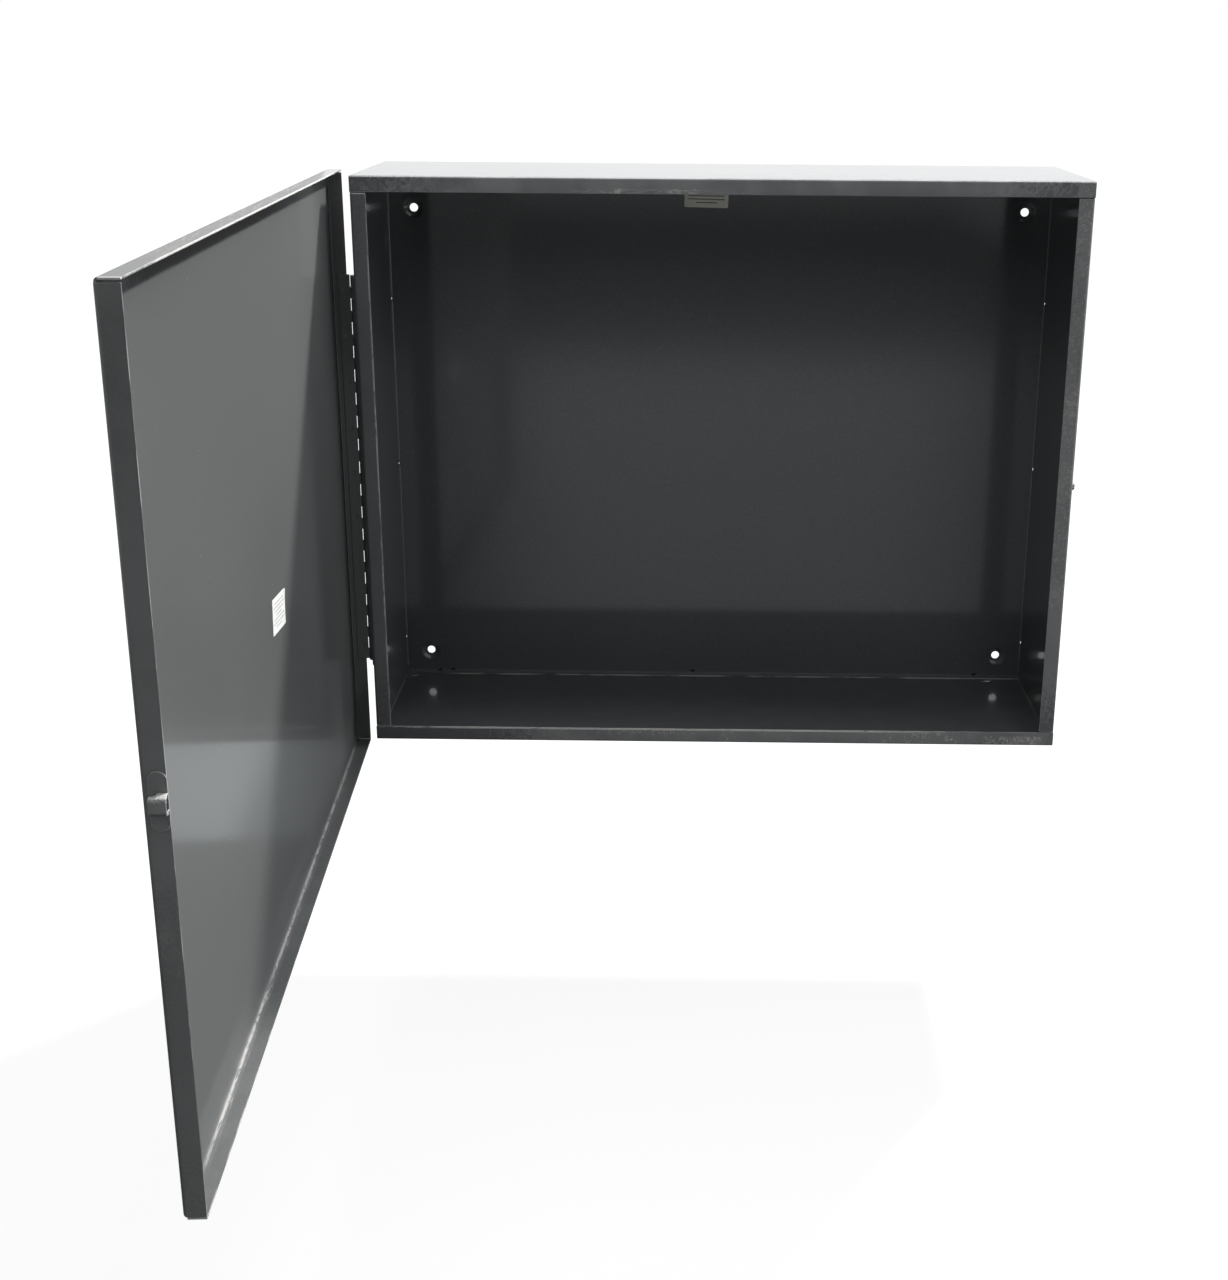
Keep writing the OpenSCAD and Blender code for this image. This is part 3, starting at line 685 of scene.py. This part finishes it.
def even_shading(piece):
    """Lets large flat faces keep their own direction next to small roundings."""
    even = piece.modifiers.new("even_shading", "WEIGHTED_NORMAL")
    even.weight, even.keep_sharp = 100, True
    return settle(piece)


def belong(piece, body, slot, *stood_for):
    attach(piece, body)
    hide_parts(*stood_for)
    return piece


CUT_FACE_WEAR_AND_GLINT, ROUNDING_WEAR_AND_GLINT = 0.7, 1.0


def rounded_sheet(
    node, name, paint, radius, segments=2, fold_radius=0.0, holes=(), unworn_r=0.0
):
    """A node's copy with its folds and cut edges rounded, and its edge faces marked for wear and
    painted edge highlight.
    """
    bm = merged_copy(node, sorted({z for _, z in holes}))
    if fold_radius:
        round_edges(bm, edges_between(bm, FOLD, SHARP), fold_radius, 3)
    mark = bm.faces.layers.float.new("cut_edge")
    for face in bm.faces:
        longest = max(e.calc_length() for e in face.edges)
        sides = [e for e in face.edges if e.calc_length() > longest / 2]
        thin = face.calc_area() / longest < 1.1 * SHEET and longest > 4 * SHEET
        if thin and all(e.calc_face_angle(0.0) > SHARP for e in sides):
            face[mark] = CUT_FACE_WEAR_AND_GLINT
    sharp = edges_between(bm, SHARP, math.pi)
    for face in round_edges(bm, sharp, radius, segments):
        face[mark] = ROUNDING_WEAR_AND_GLINT
    for face in bm.faces:
        middle = face.calc_center_median()
        if any(math.hypot(middle.x - x, middle.z - z) < unworn_r for x, z in holes):
            face[mark] = 0.0
    return even_shading(as_piece(name, bm, paint))


print("edges sharper than", round(math.degrees(SHARP)), "degrees are rounded")

# %% Box sheets
EDGE_R, PRESSED_EDGE_R, LATCH_Z = 0.45 * MM, 0.32 * MM, 0.0
WALL_HOLE_X, WALL_HOLE_Z, DIMPLE_R, DIMPLE_FOLD_R = 349.5 * MM, 271 * MM, 18 * MM, 0.9 * MM
rivet_low, rivet_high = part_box("catch_rivets")
RIVET_STEP, HEAD_R = 8 * MM, (rivet_high.y - rivet_low.y) / 2
side_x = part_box("right_side_panel")[1].x
rivet_heights = [rivet_low.z + HEAD_R, rivet_low.z + HEAD_R + RIVET_STEP]
catch_holes = [(side_x, z) for z in [LATCH_Z] + rivet_heights]
wall_holes = [(x * WALL_HOLE_X, z * WALL_HOLE_Z) for x in (-1, 1) for z in (-1, 1)]

box_sheets = {
    "top_panel": ("folded_top", ()),
    "bottom_panel": ("folded_bottom", ()),
    "left_side_panel": ("folded_left_side", ()),
    "right_side_panel": ("folded_right_side", catch_holes),
}
for node, (name, holes) in box_sheets.items():
    belong(rounded_sheet(node, name, shaded_box_paint, EDGE_R, holes=holes), "box", "paint", node)
back = rounded_sheet(
    "back_panel", "pressed_back", shaded_box_paint, PRESSED_EDGE_R,
    fold_radius=DIMPLE_FOLD_R, holes=wall_holes, unworn_r=DIMPLE_R,
)
belong(back, "box", "paint", "back_panel")

# %% Door sheets
PLATE_EDGE_R, latch_hole = 0.4 * MM, [(0.0, LATCH_Z)]
door = rounded_sheet("door_panel", "folded_door", door_paint, PRESSED_EDGE_R, holes=latch_hole)
belong(door, "door", "paint", "door_panel")
plate = rounded_sheet(
    "latch_plate", "rounded_latch_plate", plate_paint, PLATE_EDGE_R, 3, holes=latch_hole
)
belong(plate, "door", "paint", "latch_plate")
loop = rounded_sheet("pull_loop", "folded_pull_loop", loop_paint, EDGE_R, 3)
belong(loop, "door", "paint", "pull_loop")

# %% [markdown]
# The lower corners of the door are welded shut and ground round, while the upper ones keep
# their open notch. A weld is a small uneven lump, so each is a fine ball with shallow waves,
# small enough to stay behind the bends that meet there. The back is tacked to the floor of
# the box in the same way, and those tacks are painted nearly black.

# %% Welds
DOOR_OUT_X, HINGE_LIP_Y, LATCH_LIP_Y = -0.0246, 0.0057, -0.7687
WELD_R, BEND, CORNER_WAVES = 2.9 * MM, 3.0 * MM, 0.04
TACK_SIZE, TACK_Y, TACK_WAVES = (3.2 * MM, 1.3 * MM, 1.6 * MM), -7.0 * MM, 0.12
TACKS = ((-338, 4), (-322, 5), (-25, 6), (323, 5))


def weld_lumps(name, places, size, wave_depth, paint):
    bm = bmesh.new()
    for centre in places:
        for vert in bmesh.ops.create_icosphere(bm, subdivisions=4, radius=1.0)["verts"]:
            spot = vert.co.copy()
            wave = math.sin(5 * spot.x + 2) * math.sin(6 * spot.y + 1) * math.sin(5 * spot.z)
            vert.co = centre + Vector(size) * spot * (1 - wave_depth * (1 + wave))
    return settle(as_piece(name, bm, paint))


door_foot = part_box("door_panel")[0].z
to_door = Matrix.Translation(PIN) @ Matrix.Rotation(math.pi / 2 - DOOR_OPEN, 4, "Z")
corner_ends = [HINGE_LIP_Y - BEND, LATCH_LIP_Y + BEND]
door_corners = [to_door @ Vector((DOOR_OUT_X + BEND, y, door_foot + BEND)) for y in corner_ends]
welds = weld_lumps("corner_welds", door_corners, (WELD_R,) * 3, CORNER_WAVES, door_paint)
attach(welds, "door")

floor_z_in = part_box("left_side_panel")[0].z
tack_places = [Vector((x * MM, TACK_Y, floor_z_in + up * MM)) for x, up in TACKS]
tacks = weld_lumps("near_black_tacks", tack_places, TACK_SIZE, TACK_WAVES, near_black_paint)
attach(tacks, "box")

# %% [markdown]
# ## Seams
# The side walls are butted to the floor, the roof and the back, and the powder has flowed
# into those corners. It leaves a small hollow fillet, painted paler than the box: a painted
# highlight that makes the light line seen in every corner. Along the back it stops short of
# the tack welds, which show as dark pits.

# %% Paint fillets in the corners
FILLET, BURY, ARC_STEPS = 1.3 * MM, 0.25 * MM, 5
FRONT_Y, LEG_Y, BACK_Y = -0.2, -0.0135, -6.5 * MM
PIT_CLEAR, LEG_CLEAR, PITS = 3.5 * MM, 9 * MM, (49, 270, 468)
floor_corner_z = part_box("left_side_panel")[0].z
roof_corner_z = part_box("left_side_panel")[1].z
wall_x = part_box("back_panel")[1].x
pit_heights = [floor_corner_z - SHEET + up * MM for up in PITS]


def add_fillet(bm, start, end, side_a, side_b):
    """A closed bar with a hollow face, lying in the corner between two faces."""
    a, b = Vector(side_a), Vector(side_b)
    ring = [-(a + b) * BURY]
    middle = (a + b) * FILLET
    for i in range(ARC_STEPS + 1):
        t = math.pi / 2 * i / ARC_STEPS
        ring.append(middle - (b * math.cos(t) + a * math.sin(t)) * FILLET)
    ring.insert(1, a * FILLET - b * BURY)
    ring.append(b * FILLET - a * BURY)
    ends = [[bm.verts.new(Vector(p) + q) for q in ring] for p in (start, end)]
    count = len(ring)
    for i in range(count):
        j = (i + 1) % count
        bm.faces.new((ends[0][i], ends[0][j], ends[1][j], ends[1][i]))
    bm.faces.new(ends[0])
    bm.faces.new(ends[1][::-1])


bm = bmesh.new()
stops = [floor_corner_z + LEG_CLEAR]
for height in pit_heights:
    stops += [height - PIT_CLEAR, height + PIT_CLEAR]
stops.append(roof_corner_z - LEG_CLEAR)
for side in (-1, 1):
    x, inward, forward = side * wall_x, (-side, 0, 0), (0, -1, 0)
    for z, up in ((floor_corner_z, 1), (roof_corner_z, -1)):
        add_fillet(bm, (x, FRONT_Y, z), (x, LEG_Y, z), inward, (0, 0, up))
    for low, high in zip(stops[::2], stops[1::2]):
        add_fillet(bm, (x, BACK_Y, low), (x, BACK_Y, high), inward, forward)
seams = settle(as_piece("paint_fillets", bm, seam_highlight_paint))
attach(seams, "box")

# %% [markdown]
# ## Continuous hinge
# A continuous hinge is two long leaves whose edges are cut into tabs, and each tab is curled
# round one pin. A plain cylinder would miss the open end of every curl, so a Geometry Nodes
# tree sweeps a rounded strip along the curl's line and repeats it at every second knuckle.

# %% Geometry Nodes: curled knuckles
def geometry_tree(name, inputs):
    tree = bpy.data.node_groups.new(name, "GeometryNodeTree")
    tree.interface.new_socket("Geometry", in_out="INPUT", socket_type="NodeSocketGeometry")
    for label, kind in inputs:
        tree.interface.new_socket(label, in_out="INPUT", socket_type="NodeSocket" + kind)
    tree.interface.new_socket("Geometry", in_out="OUTPUT", socket_type="NodeSocketGeometry")
    return tree, tree.nodes.new("NodeGroupInput").outputs, tree.nodes.new("NodeGroupOutput").inputs


def end_row(tree, shape, given, result):
    """Repeats a shape along a line, then makes it real and gives it its finish."""
    spec = {"Count": given["Count"], "Start Location": given["First"], "Offset": given["Step"]}
    line = put(tree, "GeometryNodeMeshLine", spec, mode="OFFSET")
    row = put(tree, "GeometryNodeInstanceOnPoints", {"Points": line.outputs[0], "Instance": shape})
    real = put(tree, "GeometryNodeRealizeInstances", {0: row.outputs[0]})
    spec = {"Geometry": real.outputs[0], "Material": given["Finish"]}
    finish = put(tree, "GeometryNodeSetMaterial", spec)
    tree.links.new(finish.outputs[0], result["Geometry"])


def run_tree(piece, tree, **values):
    grow = piece.modifiers.new(tree.name, "NODES")
    grow.node_group = tree
    names = {s.name: s.identifier for s in tree.interface.items_tree if s.in_out == "INPUT"}
    for name, value in values.items():
        grow[names[name]] = value
    return settle(piece)


ROW = [("Count", "Int"), ("First", "Vector"), ("Step", "Vector"), ("Finish", "Material")]
STRIP = [("Thickness", "Float"), ("Length", "Float"), ("Rounding", "Float")]
curl, given, result = geometry_tree("curled_knuckles", STRIP + ROW)
path = put(curl, "GeometryNodeMeshToCurve", {0: given["Geometry"]})
upright = put(curl, "GeometryNodeSetCurveNormal", {0: path.outputs[0]}, mode="Z_UP")
spec = {"Width": given["Thickness"], "Height": given["Length"]}
section = put(curl, "GeometryNodeCurvePrimitiveQuadrilateral", spec)
spec = {"Curve": section.outputs[0], "Count": 2, "Radius": given["Rounding"]}
soft = put(curl, "GeometryNodeFilletCurve", spec, mode="POLY")
spec = {"Curve": upright.outputs[0], "Profile Curve": soft.outputs[0], "Fill Caps": True}
tab = put(curl, "GeometryNodeCurveToMesh", spec)
end_row(curl, tab.outputs[0], given, result)
print("tree", curl.name, [s.name for s in curl.interface.items_tree])

# %% One tab's line
hinge_low, hinge_high = pin_low.z, pin_high.z
KNUCKLES, PITCH, PLAY = 34, 12.7 * MM, 0.3 * MM
CURL_R, LEAF_OFF, LEAF_END, NOTCH = 3.15 * MM, 3.45 * MM, 17.6 * MM, 5.1 * MM
CURL_TURN, CURL_STEPS, TAB_ROUNDING = 300, 30, 0.3 * MM


def rail_of_edges(name, points):
    """A bare line of edges for the tree to sweep its strip along."""
    mesh = bpy.data.meshes.new(name)
    mesh.from_pydata(points, [(i, i + 1) for i in range(len(points) - 1)], [])
    rail = bpy.data.objects.new(name, mesh)
    bpy.context.scene.collection.objects.link(rail)
    return rail


def curl_line():
    """Centre line of one tab about the pin: along the leaf, then most of the way round."""
    line = [(LEAF_OFF, -NOTCH), (LEAF_OFF, -4.2 * MM), (3.36 * MM, -2.4 * MM)]
    for i in range(CURL_STEPS + 1):
        t = math.radians(CURL_TURN * i / CURL_STEPS)
        line.append((CURL_R * math.cos(t), CURL_R * math.sin(t)))
    return [(x, y, 0) for x, y in line]


print("tab line of", len(curl_line()), "points,", KNUCKLES, "knuckles")

# %% The flat leaf and its spot welds
WELD_STEP, FIRST_WELD, SPOT_R, SPOT_DEEP = 50 * MM, 16 * MM, 3.2 * MM, 0.3 * MM
CHAMFER, MARGIN, LEAF_COLS, LEAF_GRID = 0.3 * MM, 1 * MM, 14, 0.9 * MM


def leaf_rise(y, z):
    """How far the face that shows is dished by the nearest spot weld."""
    first = hinge_low + FIRST_WELD
    nearest = first + WELD_STEP * round((z - first) / WELD_STEP)
    r = math.hypot(y + (NOTCH + LEAF_END) / 2, z - nearest) / SPOT_R
    return SPOT_DEEP * (1 - r * r) ** 2 if r < 1 else 0.0


def add_leaf(bm):
    """A fine grid on the face that shows and on the hidden one, joined round the rim."""
    across = [-LEAF_END, -LEAF_END + CHAMFER]
    across += list(np.linspace(-LEAF_END + MARGIN, -NOTCH - MARGIN, LEAF_COLS)) + [-NOTCH]
    along = [hinge_low, hinge_low + CHAMFER]
    along += list(np.arange(hinge_low + MARGIN, hinge_high - MARGIN, LEAF_GRID))
    along += [hinge_high - CHAMFER, hinge_high]
    shown, hidden = LEAF_OFF - SHEET / 2, LEAF_OFF + SHEET / 2
    grids = []
    for x in (shown, hidden):
        grid = []
        for k, z in enumerate(along):
            row = []
            for j, y in enumerate(across):
                rise = leaf_rise(y, z) if x == shown else 0.0
                if x == shown and (j == 0 or k in (0, len(along) - 1)):
                    rise = CHAMFER
                row.append(bm.verts.new((x + rise, y, z)))
            grid.append(row)
        grids.append(grid)
    rows, cols = len(along), len(across)
    for grid, order in ((grids[0], 1), (grids[1], -1)):
        for k in range(rows - 1):
            for j in range(cols - 1):
                quad = (grid[k][j], grid[k + 1][j], grid[k + 1][j + 1], grid[k][j + 1])
                bm.faces.new(quad[::order])
    rim = [(0, j) for j in range(cols)] + [(k, cols - 1) for k in range(1, rows)]
    rim += [(rows - 1, j) for j in range(cols - 2, -1, -1)]
    rim += [(k, 0) for k in range(rows - 2, 0, -1)]
    for (k, j), (m, n) in zip(rim, rim[1:] + rim[:1]):
        bm.faces.new((grids[0][k][j], grids[0][m][n], grids[1][m][n], grids[1][k][j]))


print("spot welds every", round(WELD_STEP / MM), "mm")

# %% Both leaves and the pin
def hinge_leaf(name, first_knuckle, place):
    rail = rail_of_edges(name, curl_line())
    top_middle = hinge_high - (first_knuckle + 0.5) * PITCH
    run_tree(
        rail, curl, Thickness=SHEET, Length=PITCH - PLAY, Rounding=TAB_ROUNDING,
        Count=KNUCKLES // 2, First=(0.0, 0.0, top_middle), Step=(0.0, 0.0, -2 * PITCH),
        Finish=hinge_paint,
    )
    bm = bmesh.new()
    bm.from_mesh(rail.data)
    add_leaf(bm)
    bmesh.ops.transform(bm, matrix=place, verts=bm.verts)
    bpy.data.objects.remove(rail)
    return even_shading(as_piece(name, bm, hinge_paint))


to_pin = Matrix.Translation(PIN)
door_side = to_pin @ Matrix.Rotation(-DOOR_OPEN, 4, "Z") @ Matrix.Scale(-1, 4, (1, 0, 0))
belong(hinge_leaf("curled_leaf_on_box", 0, to_pin), "box", "paint", "box_hinge_leaf")
belong(hinge_leaf("curled_leaf_on_door", 1, door_side), "door", "paint", "door_hinge_leaf")
pin = rounded_sheet("hinge_pin", "long_hinge_pin", turned_steel, 0.6 * MM)
belong(pin, "box", "bare_steel", "hinge_pin")

# %% [markdown]
# ## Catch
# A domed button stands through the right wall and snaps into the door's lip. A spring leaf
# behind it is riveted to the wall at its foot and bends when the button is pushed in, so the
# leaf is cut into short lengths.

# %% Button and spring
BUTTON_EDGE_R, SPRING_EDGE_R, LEAF_CUTS = 0.25 * MM, 0.12 * MM, 14
button = rounded_sheet("catch_button", "domed_button", turned_steel, BUTTON_EDGE_R)
belong(button, "catch", "bare_steel", "catch_button")

bm = merged_copy("catch_spring")
round_edges(bm, edges_between(bm, SHARP, math.pi), SPRING_EDGE_R, 2)
spring_low, spring_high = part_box("catch_spring")
for i in range(1, LEAF_CUTS):
    cut_level(bm, spring_low.z + (spring_high.z - spring_low.z) * i / LEAF_CUTS)
spring = even_shading(as_piece("bent_spring_leaf", bm, spring_steel))
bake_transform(spring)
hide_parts("catch_spring")

# %% [markdown]
# The two rivets are alike, so one is turned from its half outline and a second, smaller tree
# sets it in a row. Each has a domed head inside and a flatter set end outside.

# %% Rivets
row_tree, given, result = geometry_tree("rivet_row", ROW)
end_row(row_tree, given["Geometry"], given, result)


def turned(name, outline, steps):
    """Spins a half outline, given as (along X, radius), into a closed shape."""
    bm = bmesh.new()
    line = [bm.verts.new((x, r, 0)) for x, r in outline]
    edges = [bm.edges.new(pair) for pair in zip(line, line[1:])]
    bmesh.ops.spin(
        bm, geom=line + edges, cent=(0, 0, 0), axis=(1, 0, 0), angle=2 * math.pi,
        steps=steps, use_merge=True,
    )
    bmesh.ops.remove_doubles(bm, verts=bm.verts, dist=SAME_PLACE)
    return as_piece(name, bm, turned_steel)


SHANK_R, LEAF_FACE_X, RIVET_STEPS = 1.6 * MM, 377.9 * MM, 24
inside_x, outside_x = rivet_low.x, side_x
head_h, set_h = LEAF_FACE_X - inside_x, rivet_high.x - outside_x
head_arc, set_arc = np.linspace(0, math.pi / 2, 7), np.linspace(0, math.pi / 2, 6)
outline = [(inside_x + head_h * (1 - math.cos(a)), HEAD_R * math.sin(a)) for a in head_arc]
outline += [(LEAF_FACE_X, SHANK_R), (outside_x, SHANK_R)]
outline += [(outside_x + set_h * math.sin(a), HEAD_R * math.cos(a)) for a in set_arc]
rivets = turned("domed_rivets", [(x, max(r, 0.0)) for x, r in outline], RIVET_STEPS)
middle_y = (rivet_low.y + rivet_high.y) / 2
run_tree(
    rivets, row_tree, Count=2, First=(0.0, middle_y, rivet_heights[0]),
    Step=(0.0, 0.0, RIVET_STEP), Finish=turned_steel,
)
belong(rivets, "box", "bare_steel", "catch_rivets")

# %% [markdown]
# ## Labels
# Two small stickers are on the object: a white paper one on the door, put on at a slight
# lean, and a dull foil one high on the back. Each carries a few rows of plain grey bars. A
# sticker is a thin sheet with rounded corners, and one corner lifts a little, so it is a
# grid bent in code and given its thickness.

# %% Materials: paper and foil stickers
BAR_LENGTHS, BAR_HALF_HEIGHT, PRINT_MARGIN, PALER = (0.45, 0.86), 0.16, 0.14, 1.12


def sticker_stock(name, stock, ink, rough, rows, metal=0.0):
    label = bpy.data.materials.new(name)
    label.use_nodes = True
    tree = label.node_tree
    shader = tree.nodes["Principled BSDF"]
    shader.inputs["Metallic"].default_value = metal
    spot = put(tree, "ShaderNodeUVMap", uv_map="sticker").outputs[0]
    across, up, _ = put(tree, "ShaderNodeSeparateXYZ", {0: spot}).outputs
    line = maths(tree, "MULTIPLY", up, float(rows))
    row = {"W": maths(tree, "FLOOR", line)}
    chance = put(tree, "ShaderNodeTexWhiteNoise", row, noise_dimensions="1D").outputs[0]
    length = ramp(tree, chance, 0.0, 1.0, *BAR_LENGTHS)
    off_middle = maths(tree, "SUBTRACT", maths(tree, "FRACT", line), 0.5)
    thick = maths(tree, "LESS_THAN", maths(tree, "ABSOLUTE", off_middle), BAR_HALF_HEIGHT)
    aside = maths(tree, "ABSOLUTE", maths(tree, "SUBTRACT", across, 0.5))
    bar = maths(tree, "LESS_THAN", aside, maths(tree, "MULTIPLY", length, 0.5))
    above_foot = maths(tree, "GREATER_THAN", up, PRINT_MARGIN)
    below_top = maths(tree, "LESS_THAN", up, 1 - PRINT_MARGIN)
    inside = maths(tree, "MULTIPLY", above_foot, below_top)
    printed = maths(tree, "MULTIPLY", maths(tree, "MULTIPLY", bar, thick), inside)
    here = put(tree, "ShaderNodeTexCoord").outputs["Object"]
    fibre = noise(tree, here, 700.0, 4.0)
    stain = noise(tree, here, 60.0, 3.0)
    paler = tuple(min(1.0, c * PALER) for c in stock[:3]) + (1,)
    colour = tinted(tree, ramp(tree, stain, 0.3, 0.7), stock, paler)
    tree.links.new(tinted(tree, printed, colour, ink), shader.inputs["Base Color"])
    tree.links.new(ramp(tree, fibre, 0.3, 0.7, rough, rough + 0.12), shader.inputs["Roughness"])
    skin = put(tree, "ShaderNodeBump", {"Strength": 0.5, "Distance": 0.03 * MM, "Height": fibre})
    tree.links.new(skin.outputs[0], shader.inputs["Normal"])
    return label


paper = sticker_stock("white_paper", (0.60, 0.61, 0.61, 1), (0.34, 0.35, 0.36, 1), 0.5, 9)
foil = sticker_stock("dull_foil", (0.84, 0.81, 0.74, 1), (0.22, 0.21, 0.20, 1), 0.42, 8, 0.1)
print("stickers", paper.name, foil.name)

# %% Sticker sheets
CORNER_R, CURL_REACH, CURL_LIFT = 1.5 * MM, 14 * MM, 0.5 * MM
STICKER_COLS, STICKER_ROWS = 34, 22


def sticker_axes(points, middle, outward):
    """A label's long, short and outward directions, from the spread of its points."""
    _, axes = np.linalg.eigh(np.cov((points - middle).T))
    normal, short = Vector(axes[:, 0]), Vector(axes[:, 1])
    if normal.dot(Vector(outward)) < 0:
        normal.negate()
    if short.z < 0:
        short.negate()
    return short.cross(normal), short, normal


def sticker(name, node, outward, stock, curl_corner):
    points = np.array([v.co for v in cad_nodes[node].data.vertices])
    middle = (points.min(axis=0) + points.max(axis=0)) / 2
    long, short, normal = sticker_axes(points, middle, outward)
    flat = (points - middle) @ np.array([long, short, normal]).T
    half_w, half_h, half_t = np.abs(flat).max(axis=0)
    curl_u, curl_v = curl_corner[0] * half_w, curl_corner[1] * half_h
    cols, rows = STICKER_COLS, STICKER_ROWS
    bm = bmesh.new()
    chart = bm.loops.layers.uv.new("sticker")
    grid, where = [], {}
    for j in range(rows + 1):
        line = []
        for i in range(cols + 1):
            u, v = half_w * (2 * i / cols - 1), half_h * (2 * j / rows - 1)
            du, dv = abs(u) - (half_w - CORNER_R), abs(v) - (half_h - CORNER_R)
            if du > 0 and dv > 0 and math.hypot(du, dv) > CORNER_R:
                pull = CORNER_R / math.hypot(du, dv)
                u = math.copysign(half_w - CORNER_R + du * pull, u)
                v = math.copysign(half_h - CORNER_R + dv * pull, v)
            off = math.hypot(u - curl_u, v - curl_v) / CURL_REACH
            rise = CURL_LIFT * max(0.0, 1 - off) ** 2
            place = Vector(middle) + long * u + short * v + normal * (half_t + rise)
            vert = bm.verts.new(place)
            where[vert] = (u / half_w / 2 + 0.5, v / half_h / 2 + 0.5)
            line.append(vert)
        grid.append(line)
    for j in range(rows):
        for i in range(cols):
            face = bm.faces.new((grid[j][i], grid[j][i + 1], grid[j + 1][i + 1], grid[j + 1][i]))
            for loop in face.loops:
                loop[chart].uv = where[loop.vert]
    mesh = bpy.data.meshes.new(name)
    bm.normal_update()
    if bm.faces[:][0].normal.dot(normal) < 0:
        bmesh.ops.reverse_faces(bm, faces=bm.faces)
    bm.to_mesh(mesh)
    bm.free()
    mesh.materials.append(stock)
    piece = bpy.data.objects.new(name, mesh)
    bpy.context.scene.collection.objects.link(piece)
    body = piece.modifiers.new("paper_thickness", "SOLIDIFY")
    body.thickness, body.offset = 2 * half_t, -1.0
    return settle(piece)


door_inward = (math.sin(DOOR_OPEN), math.cos(DOOR_OPEN), 0)
on_door = sticker("door_sticker", "door_label", door_inward, paper, (1, 1))
belong(on_door, "door", "paper_label", "door_label")
on_back = sticker("back_sticker", "back_label", (0, -1, 0), foil, (-1, -1))
belong(on_back, "box", "foil_label", "back_label")

# %% [markdown]
# ## Size
# Looks must not change the size of the object, so the box of what is shown is compared
# with the CAD box, and how far it reaches outside it is printed.

# %% Compare the boxes and finish
shown_low, shown_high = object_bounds()
corners = zip(cad_low, shown_low, shown_high, cad_high)
grown = [round(max(a - b, c - d) / MM, 3) for a, b, c, d in corners]
print("outside the CAD box by at most, in mm:", grown)
